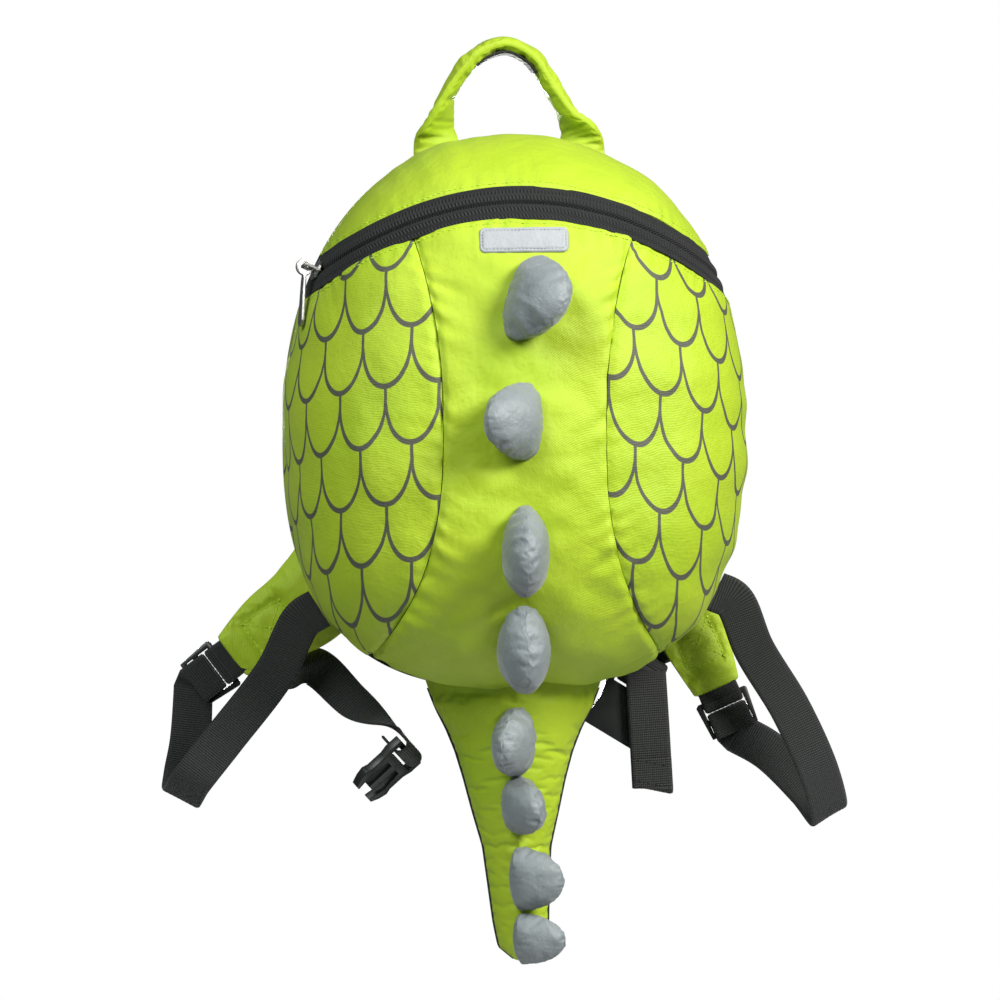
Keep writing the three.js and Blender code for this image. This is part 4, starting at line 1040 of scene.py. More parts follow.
# %% Patch
LABEL_WIDTH, LABEL_HEIGHT, LABEL_CORNER = 42.0, 12.0, 3.0
LABEL_TILT = 0.018
LABEL_STITCH_INSET = 1.5
PATCH_COLUMNS = 90


def patch_outline(height, inset=0.0):
    half_height = LABEL_HEIGHT / 2 - inset
    corner = LABEL_CORNER - inset * 0.6
    into = np.maximum(0, np.abs(height) - half_height + corner)
    return LABEL_WIDTH / 2 - inset - corner + np.sqrt(np.maximum(corner ** 2 - into ** 2, 0))


patch_rows = LABEL_HEIGHT / 2 * np.sin(np.linspace(-np.pi / 2, np.pi / 2, 44))
patch_share = np.sin(np.linspace(-np.pi / 2, np.pi / 2, PATCH_COLUMNS))
patch_half = patch_outline(patch_rows)[:, None]
patch_x = patch_half * patch_share[None]
patch_h = np.repeat(patch_rows[:, None], PATCH_COLUMNS, 1)
patch_z = LABEL_Z + patch_h + LABEL_TILT * patch_x
patch_rim = np.minimum(LABEL_HEIGHT / 2 - np.abs(patch_h), patch_half * (1 - np.abs(patch_share)))
patch_lift = 0.2 + 1.05 * (1 - np.exp(-np.maximum(patch_rim, 0) / 0.45))
patch_lift -= 0.35 * np.exp(-((patch_rim - LABEL_STITCH_INSET) / 0.4) ** 2)
patch_lift += 0.12 * soft_noise(patch_x, patch_z, size=9, seed=61)
patch = sheet_mesh("patch", dome(patch_x, patch_z, patch_lift), dome(patch_x, patch_z, 0.05 + 0 * patch_x),
                   PATCH_SATIN, {"cloth": np.stack([patch_x, patch_h], -1)})
settle(patch, "grey_fabric", "label")
ring = np.linspace(0, 2 * np.pi, 160)
border_h = np.clip(1.35 * np.sin(ring), -1, 1) * (LABEL_HEIGHT / 2 - LABEL_STITCH_INSET)
border_half = patch_outline(border_h, LABEL_STITCH_INSET)
border_x = np.sign(np.cos(ring)) * np.minimum(border_half, np.abs(np.cos(ring)) * 60)
border = dome(border_x, LABEL_Z + border_h + LABEL_TILT * border_x, 1.0)
border_up = dome(border_x, LABEL_Z + border_h, 2.0) - dome(border_x, LABEL_Z + border_h, 1.0)
patch_stitch = beads("patch_stitch", [(border, border_up)], GREY_THREAD,
                     spacing=1.7, length=1.3, width=0.4, height=0.3, seed=5)
settle(patch_stitch, "grey_fabric")

# %% [markdown]
# The tail is stuffed and three-sided: two lime faces that meet in a ridge seam, and a flat black
# back. Its profile is read from a short table of shares and smoothed, and the stuffing shows as
# soft bulges between the seams.

# %% Tail
TAIL_LENGTH, TAIL_HALF_WIDTH, TAIL_RIDGE, TAIL_SWING = 132.0, 42.0, 40.0, 5.0
TAIL_START, TAIL_FOLD_AT = -0.06, 0.71
TAIL_BACK_ENDS = (0.012, 0.995)
TAIL_TABLE = [
    (TAIL_START, 1.06, 1.04), (0, 1, 1), (0.08, 0.89, 0.92), (0.15, 0.77, 0.84), (0.23, 0.67, 0.77),
    (0.33, 0.58, 0.69), (0.45, 0.49, 0.6), (0.58, 0.385, 0.51), (0.72, 0.345, 0.44), (0.86, 0.31, 0.38),
    (0.95, 0.27, 0.33), (1, 0.09, 0.17),
]
TAIL_DOWN, TAIL_WIDE, TAIL_DEEP = (np.array(column) for column in zip(*TAIL_TABLE))


def tail_profile(down):
    fine = np.linspace(TAIL_START, 1, 531)
    kernel = np.hanning(31)
    kernel /= kernel.sum()

    def smooth(values):
        line = np.interp(fine, TAIL_DOWN, values)
        padded = np.concatenate([2 * line[0] - line[15:0:-1], line, 2 * line[-1] - line[-2:-17:-1]])
        soft = np.convolve(padded, kernel, "valid")
        hold = np.clip((fine - 0.93) / 0.03, 0, 1)
        return soft * (1 - hold) + line * hold

    return (np.interp(down, fine, smooth(TAIL_WIDE)) * TAIL_HALF_WIDTH,
            np.interp(down, fine, smooth(TAIL_DEEP)) * TAIL_RIDGE)


def tail_middle(down):
    return TAIL_SWING * np.maximum(0, down) ** 2, BOTTOM_Z - down * TAIL_LENGTH


def tail_rings(count, facet):
    t = np.linspace(0, 1, facet + 1)
    facets = [
        {"slide": 0, "shift": 0, "seeds": (81, 82, 86), "pitch": 7, "creased": t * 0.6},
        {"slide": 50, "shift": 80, "seeds": (83, 84, 87), "pitch": 6.5, "creased": 1 - abs(t - 0.5)},
    ]
    rings = []
    for down in np.linspace(TAIL_START, 1, count):
        wide, deep = tail_profile(down)
        x, z = tail_middle(down)
        left = np.array([-wide, -GAP])
        normal = np.array([-deep, -wide])
        bulge = 4 * t * (1 - t) * (0.11 * (1 - 0.3 * down))
        places = left + (np.array([0.0, -deep]) - left) * t[:, None] + normal * bulge[:, None]
        seam = np.minimum(t, 1 - t) * math.hypot(wide, deep)
        along = down * TAIL_LENGTH + 0 * t
        fold = 1.3 * math.exp(-((down - TAIL_FOLD_AT) / 0.035) ** 2)
        halves = []
        for side in facets:
            dent_seed, seam_seed, top_seed = side["seeds"]
            lift = 0.6 * soft_noise(t * 30 + side["slide"], along, size=30, seed=dent_seed)
            lift += pucker(seam, along, depth=0.55, reach=4.5, pitch=side["pitch"], seed=seam_seed)
            from_top, across = np.maximum(along, 0), t * 45 + side["shift"]
            lift += pucker(from_top, across, depth=0.5, reach=8, pitch=9, seed=top_seed)
            lift = (lift - fold * side["creased"]) * np.minimum(1, seam / 4)
            halves.append(places + normal / math.hypot(*normal) * lift[:, None])
        one, two = halves
        rear = np.stack([np.linspace(wide, -wide, 12)[1:-1], np.full(10, -GAP)], -1)
        section = np.concatenate([one, (two * [-1, 1])[::-1][1:], rear])
        rings.append(np.stack([x + section[:, 0], section[:, 1], np.full(len(section), z)], -1))
    return np.stack(rings)


def tail_back_rows(lift, rows=120, columns=20, grow=0.8):
    grid = []
    for down in np.linspace(*TAIL_BACK_ENDS, rows):
        wide, _ = tail_profile(down)
        x, z = tail_middle(down)
        share = np.linspace(-1, 1, columns)
        px = x + (wide + grow) * share
        rim = BOTTOM_Z + 30 * (np.abs(px) / HALF_WIDTH) ** 2.6 - GAP
        z = z + (rim - BOTTOM_Z) * max(0, 1 - down * 6)
        y = lift * (1 - 0.5 * share ** 6) + 0.12 * soft_noise(px, z + 0 * px, size=17, seed=66)
        grid.append(np.stack([px, y + 0 * px, z + 0 * px], -1))
    return np.stack(grid)


tail_rear = tail_back_rows(1.4)
tail_fore = tail_back_rows(0.0)
tail_fore[..., 1] = -GAP * 0.5
rear_places = tail_rear[..., [0, 2]] + [200, 500]
tail_back = sheet_mesh("tail_rear_cloth", tail_rear, tail_fore, LINING, {"cloth": rear_places})
settle(tail_back, "black_fabric", "tail_back")

# %% [markdown]
# Stuffed and padded pieces are blown up by Blender's cloth simulation. Their seams are pinned and
# the cloth between them is cut a little too large, so pressure fills it and real creases run away
# from the thread. It runs on a copy twenty times larger, because cloth settings are meant for
# things about a metre long. How far a point may move is capped, and only the shape is kept.

# %% Stuffing by cloth simulation
SIM_SCALE = 20.0


def coordinates(mesh):
    places = np.empty(len(mesh.vertices) * 3)
    mesh.vertices.foreach_get("co", places)
    return places.reshape(-1, 3)


def simulate(mesh, sewn, swell, pressure, frames, bend):
    body = link("stuffing", mesh.copy())
    body.data.vertices.foreach_set("co", (coordinates(mesh) * SIM_SCALE).ravel())
    body.vertex_groups.new(name="sewn").add([int(i) for i in np.flatnonzero(sewn)], 1.0, "REPLACE")
    cloth = body.modifiers.new("cloth", "CLOTH")
    cloth.settings.quality = 5
    cloth.settings.mass = 0.2
    cloth.settings.tension_stiffness = 20
    cloth.settings.compression_stiffness = 20
    cloth.settings.shear_stiffness = 8
    cloth.settings.bending_stiffness = bend
    cloth.settings.use_pressure = True
    cloth.settings.uniform_pressure_force = pressure
    cloth.settings.vertex_group_mass = "sewn"
    cloth.settings.shrink_min = -swell
    cloth.settings.effector_weights.gravity = 0
    cloth.collision_settings.use_collision = False
    cloth.point_cache.frame_start = 1
    cloth.point_cache.frame_end = frames
    for step in range(1, frames + 1):
        scene.frame_set(step)
    ready = body.evaluated_get(bpy.context.evaluated_depsgraph_get())
    end = coordinates(ready.data) / SIM_SCALE
    bpy.data.objects.remove(body)
    scene.frame_set(1)
    return end


def finer(piece):
    subdivision = piece.modifiers.new("finer", "SUBSURF")
    subdivision.levels = 1
    subdivision.render_levels = 1
    result = frozen(piece, piece.name)
    piece.modifiers.clear()
    piece.data = result


def stuff(piece, sewn, swell, pressure, cap, frames, bend=0.4):
    start = coordinates(piece.data)
    sewn = np.concatenate([np.asarray(sewn).ravel(), [True, True]])
    move = simulate(piece.data, sewn, swell, pressure, frames, bend) - start
    length = np.linalg.norm(move, axis=1, keepdims=True)
    limit = np.minimum(1, cap * MM / np.maximum(length, 1e-9))
    piece.data.vertices.foreach_set("co", (start + move * limit).ravel())
    mean, most = (round(float(value) * METRE, 2) for value in (length.mean(), length.max()))
    print(piece.name, "moved", mean, "mm on average, most", most)
    finer(piece)


# %% [markdown]
# The tail is stuffed first. The seams down its ridge and sides, its top and its tip are pinned,
# and so is the flat back.

# %% Stuff the tail
TAIL_FACET = 30
tail_shape = tail_rings(130, TAIL_FACET)
tail_sewn = np.zeros(tail_shape.shape[:2], bool)
tail_sewn[:, [0, TAIL_FACET, 2 * TAIL_FACET]] = True
tail_sewn[:, 2 * TAIL_FACET:] = True
tail_sewn[:10] = True
tail_sewn[-1:] = True
tail_piece = tube_mesh("tail_cloth", tail_shape, LIME_CLOTH, sharp=75)
stuff(tail_piece, tail_sewn, swell=0.035, pressure=3.0, cap=2.5, frames=16)
settle(tail_piece, "lime_fabric", "tail", fill=0.8)

# %% [markdown]
# Each spike is two satin leaves sewn together along a crest and stuffed. The seam is shorter than
# the cloth, so creases stand across it and die out down the leaf. A spike begins as a fine
# ball, is stretched to its own length, height and thickness, and the creases are added
# by how far each point lies from the seam. It leans and turns as it happens to hang. A row of
# the table says what it is sewn to, how far down, its length, height and thickness as shares,
# and how many degrees it leans and twists.

# %% Spikes
SPIKE_LENGTH, SPIKE_HEIGHT, SPIKE_THICKNESS, SPIKE_ROOT, CREST = 44.0, 27.0, 19.0, 8.0, 1.35
X_AXIS, Y_AXIS, Z_AXIS = np.eye(3)
SPIKES = [
    ("bag", 0.308, 0.95, 1.15, 1.05, 36, 18), ("bag", 0.522, 0.82, 1.05, 1, -42, 0),
    ("bag", 0.746, 0.98, 1.05, 0.98, 0, 0), ("bag", 0.905, 1, 1.05, 1.15, 4, 0),
    ("tail", 0.18, 0.76, 0.85, 0.95, -22, 0), ("tail", 0.415, 0.64, 0.85, 0.9, 24, 0),
    ("tail", 0.69, 0.7, 0.85, 0.8, 62, 0), ("tail", 0.912, 0.57, 0.8, 0.74, 66, 0),
]


def ridge_point(down):
    x, z = tail_middle(down)
    return np.array([x, -TAIL_RIDGE * np.interp(down, TAIL_DOWN, TAIL_DEEP), z])


def about(axis, degrees, vector):
    return np.array(Matrix.Rotation(math.radians(degrees), 3, Vector(axis)) @ Vector(vector))


def matched(way, other):
    return -way if np.dot(way, other) < 0 else way


def spike_stand(on, down):
    if on == "tail":
        along = unit(ridge_point(down + 0.01) - ridge_point(down - 0.01))
        return ridge_point(down), along, -unit(np.cross(along, X_AXIS))
    z = TOP_Z - down * BAG_HEIGHT
    base = dome(0.0, z)
    out_way = dome(0.0, z, 1.0) - base
    return base, unit(np.cross(out_way, X_AXIS)), out_way


def spike_points(row, seed, rings=46, sides=76):
    on, down, length, height, thick, lean, twist = row
    base, along, out_way = spike_stand(on, down)
    along = matched(along, Z_AXIS)
    out_way = matched(out_way, -Y_AXIS)
    along = about(out_way, -twist, along)
    crest = about(along, lean, out_way)
    across = np.cross(along, crest)
    polar = np.linspace(0.07, np.pi - 0.07, rings)[:, None]
    turn = np.linspace(0, 2 * np.pi, sides, endpoint=False)[None]
    ux, uz, uy = np.sin(polar) * np.sin(turn), np.sin(polar) * np.cos(turn), np.cos(polar) + 0 * turn
    high = np.where(uz > 0, uz * SPIKE_HEIGHT * height, uz * SPIKE_ROOT * 0.6)
    full = np.where(uz > 0, CREST, 1.0)
    wide = np.sign(ux) * np.abs(ux) ** full * SPIKE_THICKNESS * thick / 2
    long = uy * SPIKE_LENGTH * length / 2
    seam_angle = np.arctan2(uz, uy)
    run = seam_angle * 0.5 * (SPIKE_LENGTH * length / 2 + SPIKE_HEIGHT * height)
    reach = np.abs(wide) + 0.25 * np.abs(ux) * SPIKE_THICKNESS
    seeds = np.full(ux.shape, seed)
    one = (pucker(reach, run, depth=0.85, reach=4.5, pitch=3.6, seed=seeds)
           + pucker(reach, run, depth=1.3, reach=7.5, pitch=9.5, seed=seeds + 5))
    two = (pucker(reach, run + 5, depth=0.85, reach=4.5, pitch=3.9, seed=seed + 9)
           + pucker(reach, run, depth=1.2, reach=7.5, pitch=10.5, seed=seed + 14))
    crease = np.where(ux > 0, one, two) + 0.35 * soft_noise(run + (ux > 0) * 60, high, size=12, seed=seed + 20)
    crease = crease * np.clip((uz + 0.25) * 2, 0, 1) * np.minimum(1, reach / 1.2)
    wide = wide + np.sign(ux) * crease * 0.8
    sewn = (np.abs(ux) < 0.02) | (uz < -0.3) | (np.abs(uy) > 0.985)
    return base + long[..., None] * along + high[..., None] * crest + wide[..., None] * across, sewn


for number, row in enumerate(SPIKES, 1):
    spike_rings, spike_sewn = spike_points(row, 100 + 31 * number)
    spike_piece = tube_mesh(f"spike_pod_{number}", spike_rings, SPIKE_SATIN, sharp=80)
    stuff(spike_piece, spike_sewn, swell=0.10, pressure=4.0, cap=2.6, frames=14)
    settle(spike_piece, "grey_fabric", f"spike_{number}", fill=0.85)

# %% [markdown]
# Straps follow smooth curves through a few chosen places. The curve is a centripetal
# Catmull-Rom spline, the same kind that the CAD source uses, so both run through the same line.
# A section is then carried along it, with its own width direction at each place.

# %% Curves and bands
def spline(points, t):
    points = np.asarray(points, float)
    last = len(points) - 1
    result = []
    for share in np.atleast_1d(t):
        place = last * share
        i = min(int(place), last - 1)
        w = place - i
        p1, p2 = points[i], points[i + 1]
        p0 = points[i - 1] if i > 0 else 2 * points[0] - points[1]
        p3 = points[i + 2] if i + 2 <= last else 2 * points[last] - points[last - 1]
        d0, d1, d2 = (np.linalg.norm(b - a) ** 0.5 for a, b in ((p0, p1), (p1, p2), (p2, p3)))
        d1 = d1 if d1 > 1e-4 else 1.0
        d0 = d0 if d0 > 1e-4 else d1
        d2 = d2 if d2 > 1e-4 else d1
        t1 = ((p1 - p0) / d0 - (p2 - p0) / (d0 + d1) + (p2 - p1) / d1) * d1
        t2 = ((p2 - p1) / d1 - (p3 - p1) / (d1 + d2) + (p3 - p2) / d2) * d1
        c2 = -3 * p1 + 3 * p2 - 2 * t1 - t2
        c3 = 2 * p1 - 2 * p2 + t1 + t2
        result.append(p1 + t1 * w + c2 * w * w + c3 * w ** 3)
    return np.array(result)


def stations(places, widths, count):
    t = np.linspace(0, 1, count + 1)
    return spline(places, t), unit(spline(widths, t))


def frames(places, widths):
    before = np.concatenate([places[:1], places[:-1]])
    after = np.concatenate([places[1:], places[-1:]])
    along = unit(after - before)
    wide = unit(widths - along * (widths * along).sum(-1, keepdims=True))
    return along, wide, np.cross(along, wide)


def carry(places, widths, section):
    _, wide, out_way = frames(places, widths)
    section = np.asarray(section, float)
    if section.ndim == 2:
        section = np.repeat(section[None], len(places), 0)
    return places[:, None] + wide[:, None] * section[..., :1] + out_way[:, None] * section[..., 1:]


def flat_section(width, thickness, ribs=0.12, count=25):
    u = np.linspace(-1, 1, count)
    edge = np.sqrt(np.maximum(0, 1 - np.abs(u) ** 14))
    ridge = ribs * np.abs(np.sin(u * 9 * np.pi / 2))
    top = np.stack([u * width / 2, (thickness / 2 - ribs + ridge) * edge * 0.98 + 0.02], -1)
    return np.concatenate([top, top[::-1] * [1, -1]])


def webbing(name, places, widths, width, thickness, *nodes):
    section = flat_section(width, thickness)
    rings = carry(places, widths, section)
    piece = tube_mesh(name, rings, BLACK_WEBBING, sharp=60, ring_uv=section[:, 0] + width)
    print(name, "webbing length", round(float(arc(places[None], 1)[0, -1])), "mm")
    return settle(piece, "black_fabric", *nodes)


def held(way, count):
    return np.repeat(way[None], count, 0)


def half_turn(centre, start, through, radius, steps=24):
    angle = np.linspace(0, np.pi, steps + 1)[:, None]
    return centre + radius * (np.asarray(start) * np.cos(angle) + np.asarray(through) * np.sin(angle))


# %% [markdown]
# The grab handle is a lime sleeve folded round webbing. It is sewn flat to the back, turns on
# edge as it rises, and creases where it bends. The webbing shows under its top. A row of the
# table gives a place across and up as shares, and the turn of the band in degrees.

# %% Grab handle
WEB_WIDTH, HANDLE_WEB_WIDTH, WEB_THICKNESS, BAR = 20.0, 18.0, 1.5, 3.0
HANDLE_WIDTH, HANDLE_THICKNESS, HANDLE_HALF_SPAN, HANDLE_TAB = 22.0, 5.5, 37.0, 21.0
HANDLE_STEPS = 260
HANDLE_ARCH = slice(104, 157)
HANDLE_TABLE = [
    (-1, -0.25, 0), (-1, -0.1, 0), (-1, 0.06, 0), (-0.97, 0.24, 50), (-0.87, 0.5, 80), (-0.67, 0.76, 90),
    (-0.42, 0.93, 90), (-0.08, 1, 90), (0.26, 0.88, 90), (0.5, 0.62, 92), (0.72, 0.36, 105), (0.87, 0.2, 138),
    (0.92, 0.04, 180), (0.93, -0.1, 180), (0.93, -0.25, 180),
]
handle_y = BACK_Y + 3 * GAP + HANDLE_THICKNESS / 2
handle_top = WEB_THICKNESS + GAP + HANDLE_THICKNESS / 2 + GAP
handle_foot = TOP_Z - HANDLE_TAB / 3
handle_rise = handle_top - handle_foot
handle_places = [
    (across * HANDLE_HALF_SPAN, handle_y * (1 - max(0, up - 0.1)), handle_foot + handle_rise * up)
    for across, up, _ in HANDLE_TABLE
]
handle_widths = [(math.cos(math.radians(a)), math.sin(math.radians(a)), 0) for _, _, a in HANDLE_TABLE]
handle_path, handle_wide = stations(handle_places, handle_widths, HANDLE_STEPS)


def pillow(width, thickness, count=56, power=2.6):
    angle = np.linspace(0, 2 * np.pi, count, endpoint=False)
    c, s = np.cos(angle), np.sin(angle)
    x = width / 2 * np.sign(c) * np.abs(c) ** (2 / (power + 2.4))
    return np.stack([x, thickness / 2 * np.sign(s) * np.abs(s) ** (2 / power)], -1)


def box_cross(along, across, middle, long, wide):
    a, b = np.abs(along - middle), np.abs(across)
    box = np.abs(np.maximum(a - long / 2, b - wide / 2))
    box = np.where(np.minimum(a - long / 2, b - wide / 2) > 0, 99, box)
    slant = np.abs(a * wide - b * long) / math.hypot(long, wide)
    return np.minimum(box, np.where((a < long / 2) & (b < wide / 2), slant, 99))


def padded_band(places, widths, width, thickness, seed, crease, pitch, power=2.6, cross=None):
    count = len(places)
    width = np.broadcast_to(width, count)
    thickness = np.broadcast_to(thickness, count)
    base = pillow(2.0, 2.0, power=power)
    section = base[None] * np.stack([width / 2, thickness / 2], -1)[:, None]
    along = arc(places[None], 1)[0][:, None] + 0 * section[..., 0]
    edge = width[:, None] / 2 - np.abs(section[..., 0])
    face = np.sign(section[..., 1])
    lift = pucker(edge + 0.4, along + face * 3, depth=crease, reach=5, pitch=pitch * 0.55, seed=seed)
    lift += crease * 0.9 * soft_noise(section[..., 0] * 1.2 + face * 40, along, size=pitch * 2.2, seed=seed + 3)
    section[..., 1] += face * lift * np.minimum(1, edge / 2.5)
    sewn = edge < 0.55
    if cross:
        near = box_cross(along, section[..., 0], *cross)
        section[..., 1] -= face * (np.abs(section[..., 1]) * 0.42) * np.exp(-(near / 1.9) ** 2)
        sewn = sewn | (near < 0.9)
    sewn[[0, 1, -2, -1]] = True
    return carry(places, widths, section), sewn


handle_rings, handle_sewn = padded_band(handle_path[::2], handle_wide[::2], HANDLE_WIDTH,
                                        HANDLE_THICKNESS, seed=201, crease=0.6, pitch=8.0)
handle_piece = tube_mesh("handle_sleeve", handle_rings, LIME_CLOTH, sharp=70)
stuff(handle_piece, handle_sewn, swell=0.05, pressure=3.0, cap=1.4, frames=14)
settle(handle_piece, "lime_fabric", "grab_handle", fill=0.5)
inside = HANDLE_THICKNESS / 2 + GAP + WEB_THICKNESS / 2
_, _, handle_out = frames(handle_path, handle_wide)
web_path = (handle_path - handle_out * inside)[HANDLE_ARCH]
webbing("handle_web", web_path, handle_wide[HANDLE_ARCH], HANDLE_WEB_WIDTH, WEB_THICKNESS, "handle_webbing")

# %% [markdown]
# The shoulder straps are foam pads in lime cloth, broad at the top and drawn in towards the
# adjuster. They bow out behind the bag. A crossed box of stitches holds the adjuster's loop. A
# row of a table gives a place across, out and down as shares of the bag's sizes.

# %% Shoulder straps
PAD_WIDTH, PAD_END_WIDTH, PAD_THICKNESS, STRAP_BOW = 45.0, 24.0, 9.0, 40.0
PAD_Y = BACK_Y + GAP + PAD_THICKNESS / 2
PAD_STEPS, PAD_COARSE_STEPS = 150, 18
NARROWER, THINNER = 0.6, 1.0
TAPER_FROM = 0.72
BOX_FROM_END, BOX_LONG, BOX_WIDE = 24.0, 21.0, 19.0
PAD_TABLES = {
    "left": [(-0.34, 0, 0.1), (-0.365, 0.3, 0.2), (-0.41, 0.8, 0.33), (-0.465, 1, 0.47), (-0.56, 0.82, 0.62),
             (-0.71, 0.52, 0.75), (-0.88, 0.33, 0.845), (-1.06, 0.3, 0.895), (-1.22, 0.29, 0.945)],
    "right": [(0.34, 0, 0.1), (0.365, 0.3, 0.2), (0.41, 0.8, 0.33), (0.46, 1, 0.47), (0.545, 0.9, 0.62),
              (0.66, 0.68, 0.76), (0.77, 0.5, 0.87), (0.91, 0.4, 1.005)],
}


def pad_line(table, count):
    spots = np.array([(a * HALF_WIDTH, PAD_Y + o * STRAP_BOW, TOP_Z - d * BAG_HEIGHT) for a, o, d in table])
    step = 1e-4
    t = np.linspace(0, 1, len(spots))
    tangent = unit(spline(spots, np.minimum(t + step, 1)) - spline(spots, np.maximum(t - step, 0)))
    widths = unit(np.stack([-tangent[:, 2], 0 * t, tangent[:, 0]], -1))
    return stations(spots, widths, count)


def pad_width(share):
    taper = np.clip((share - TAPER_FROM) / (1 - TAPER_FROM), 0, 1)
    return PAD_WIDTH + (PAD_END_WIDTH - PAD_WIDTH) * taper ** 1.5


BOX_CORNERS = [(-1, -1), (-1, 1), (1, 1), (1, -1), (-1, -1), (1, 1), (-1, 1), (1, -1)]


def along_curve(length, at, grid):
    return np.stack([np.interp(at, length, grid[:, i]) for i in range(3)], -1)


def box_lines(length, places, wide, middle):
    t = np.linspace(0, 1, 24)
    lines = []
    for a, b in zip(BOX_CORNERS, BOX_CORNERS[1:]):
        at = middle + BOX_LONG / 2 * (a[0] + (b[0] - a[0]) * t)
        aside = BOX_WIDE / 2 * (a[1] + (b[1] - a[1]) * t)
        lines.append(along_curve(length, at, places) + along_curve(length, at, wide) * aside[:, None])
    return lines


pads = {}
share = np.linspace(0, 1, PAD_STEPS + 1)
thickness = (PAD_THICKNESS - THINNER) * (1 - 0.35 * np.clip((share - 0.9) / 0.1, 0, 1))
for name, seed in (("left", 240), ("right", 260)):
    pads[name] = pad_line(PAD_TABLES[name], PAD_COARSE_STEPS)
    places, widths = pad_line(PAD_TABLES[name], PAD_STEPS)
    length = arc(places[None], 1)[0]
    middle = length[-1] - BOX_FROM_END
    rings, sewn = padded_band(places, widths, pad_width(share) - NARROWER, thickness, seed,
                              crease=0.6, pitch=13.0, power=2.3, cross=(middle, BOX_LONG, BOX_WIDE))
    strap = tube_mesh(f"strap_pad_{name}", rings, LIME_CLOTH, sharp=70)
    stuff(strap, sewn, swell=0.045, pressure=3.0, cap=2.0, frames=14)
    _, wide, out_way = frames(places, widths)
    lines = box_lines(length, places, wide, middle)
    nearest = out_way[np.searchsorted(length, middle)]
    sewn_lines = [cast(strap, line, way) for way in (nearest, -nearest) for line in lines]
    box_stitch = beads(f"strap_box_{name}", sewn_lines, LIME_THREAD,
                       spacing=2.4, length=1.9, width=0.6, height=0.5, seed=7)
    settle(box_stitch, "lime_fabric")
    settle(strap, "lime_fabric", f"shoulder_strap_{name}", fill=0.6)

# %% [markdown]
# At a strap's end a short webbing loop holds the adjuster, and the long webbing from the side
# seam comes up behind it and wraps its lower bar. Both turns are true half circles round the
# bars. A row of a table gives a place across, out and down as shares, and the webbing's slant.

# %% Adjuster loops and lower webbing
ADJUSTER_THICKNESS, LOOP_REACH, PLUG_THICKNESS = 3.5, 26.0, 4.4
SNUG_WEB = 1.8
LOOP_INSIDE, LOOP_OUTSIDE = 6, 0.8
LOOP_SPREAD_INSIDE, LOOP_SPREAD_OUTSIDE = 0.95, 1.3


def wrap_radius(thickness):
    return 1.03 * math.hypot(thickness / 2, BAR / 2) + GAP + WEB_THICKNESS / 2


ADJUSTER_WRAP = wrap_radius(ADJUSTER_THICKNESS)
BAR_PITCH = 2 * (ADJUSTER_WRAP + WEB_THICKNESS / 2) + GAP
LOWER_TABLES = {
    "left": [(-1.03, -0.06, 0.97, 0.75, -0.66), (-1.25, -0.06, 1.09, 0.83, -0.55),
             (-1.39, 0, 1.165, 0.88, -0.47), (-1.44, 0.5, 1.2, 0.88, -0.47),
             (-1.43, 1, 1.165, 0.88, -0.47), (-1.4, 1.12, 1.1, 0.86, -0.5)],
    "right": [(1.05, -0.06, 0.93, 0.62, 0.78), (1.21, -0.06, 1.04, 0.7, 0.71), (1.34, 0, 1.16, 0.8, 0.6),
              (1.39, 0.5, 1.235, 0.85, 0.53), (1.31, 1, 1.19, 0.85, 0.53), (1.14, 1.05, 1.12, 0.9, 0.4)],
}
SEWN_ANGLES = {"left": -0.66, "right": -0.57}


def adjuster_stand(pad):
    places, widths = pad
    end = places[-1]
    along = unit(end - places[-2])
    w = unit(widths[-1] - along * np.dot(widths[-1], along))
    out_way = matched(np.cross(along, w), Y_AXIS)
    top = end + along * (GAP + ADJUSTER_WRAP + BAR / 2)
    return end, along, matched(w, X_AXIS), out_way, top, top + along * BAR_PITCH


def lower_line(sign, name, stand):
    _, along, w, out_way, _, bar = stand
    x, z = (float(value) for value in outline(np.array(SEWN_ANGLES[name])))
    away = dome_normal(np.array(x), np.array(z), np.array(0.0))
    sewn_y = GAP + BACK_THICKNESS / 2
    start = np.array([x, sewn_y, z]) + away * 2 * GAP
    start[0] *= sign
    sewn_wide = np.array([sign * -away[2], 0, away[0]]) * sign
    lead = np.array([sign * away[0], 0, away[2]])
    near = bar + along * 3 * BAR
    places = [start, start + lead * WEB_WIDTH / 2]
    widths = [sewn_wide, sewn_wide]
    for across, reach, down, wx, wz in LOWER_TABLES[name]:
        places.append((across * HALF_WIDTH, sewn_y + reach * LOOP_REACH, TOP_Z - down * BAG_HEIGHT))
        widths.append((wx, 0, wz))
    places.append(near + out_way * (ADJUSTER_WRAP + GAP))
    widths.append(w)
    line, wide = stations(places, widths, 220)
    wrap = half_turn(bar, out_way, -along, ADJUSTER_WRAP)
    line = np.concatenate([line, wrap, [near - out_way * ADJUSTER_WRAP]])
    return line, np.concatenate([wide, held(matched(w, wide[-1]), len(wrap) + 1)])


for name, sign in (("left", -1), ("right", 1)):
    stand = adjuster_stand(pads[name])
    end, along, w, out_way, top, _ = stand
    rear, fore = ([end - along * LOOP_INSIDE + out_way * face * LOOP_SPREAD_INSIDE,
                   end + along * LOOP_OUTSIDE + out_way * face * LOOP_SPREAD_OUTSIDE] for face in (1, -1))
    loop = np.concatenate([rear, half_turn(top, out_way, along, ADJUSTER_WRAP), fore[::-1]])
    webbing(f"loop_web_{name}", loop, held(w, len(loop)), WEB_WIDTH, SNUG_WEB, f"adjuster_loop_{name}")
    line, wide = lower_line(sign, name, stand)
    webbing(f"long_web_{name}", line, wide, WEB_WIDTH, SNUG_WEB, f"lower_webbing_{name}")

# %% [markdown]
# The chest strap hangs open. Its webbing is sewn across the back of each shoulder strap. The
# left one ends round the plug's bar, and the right one round the socket's, with a long free end
# whose hem is folded back and stitched.

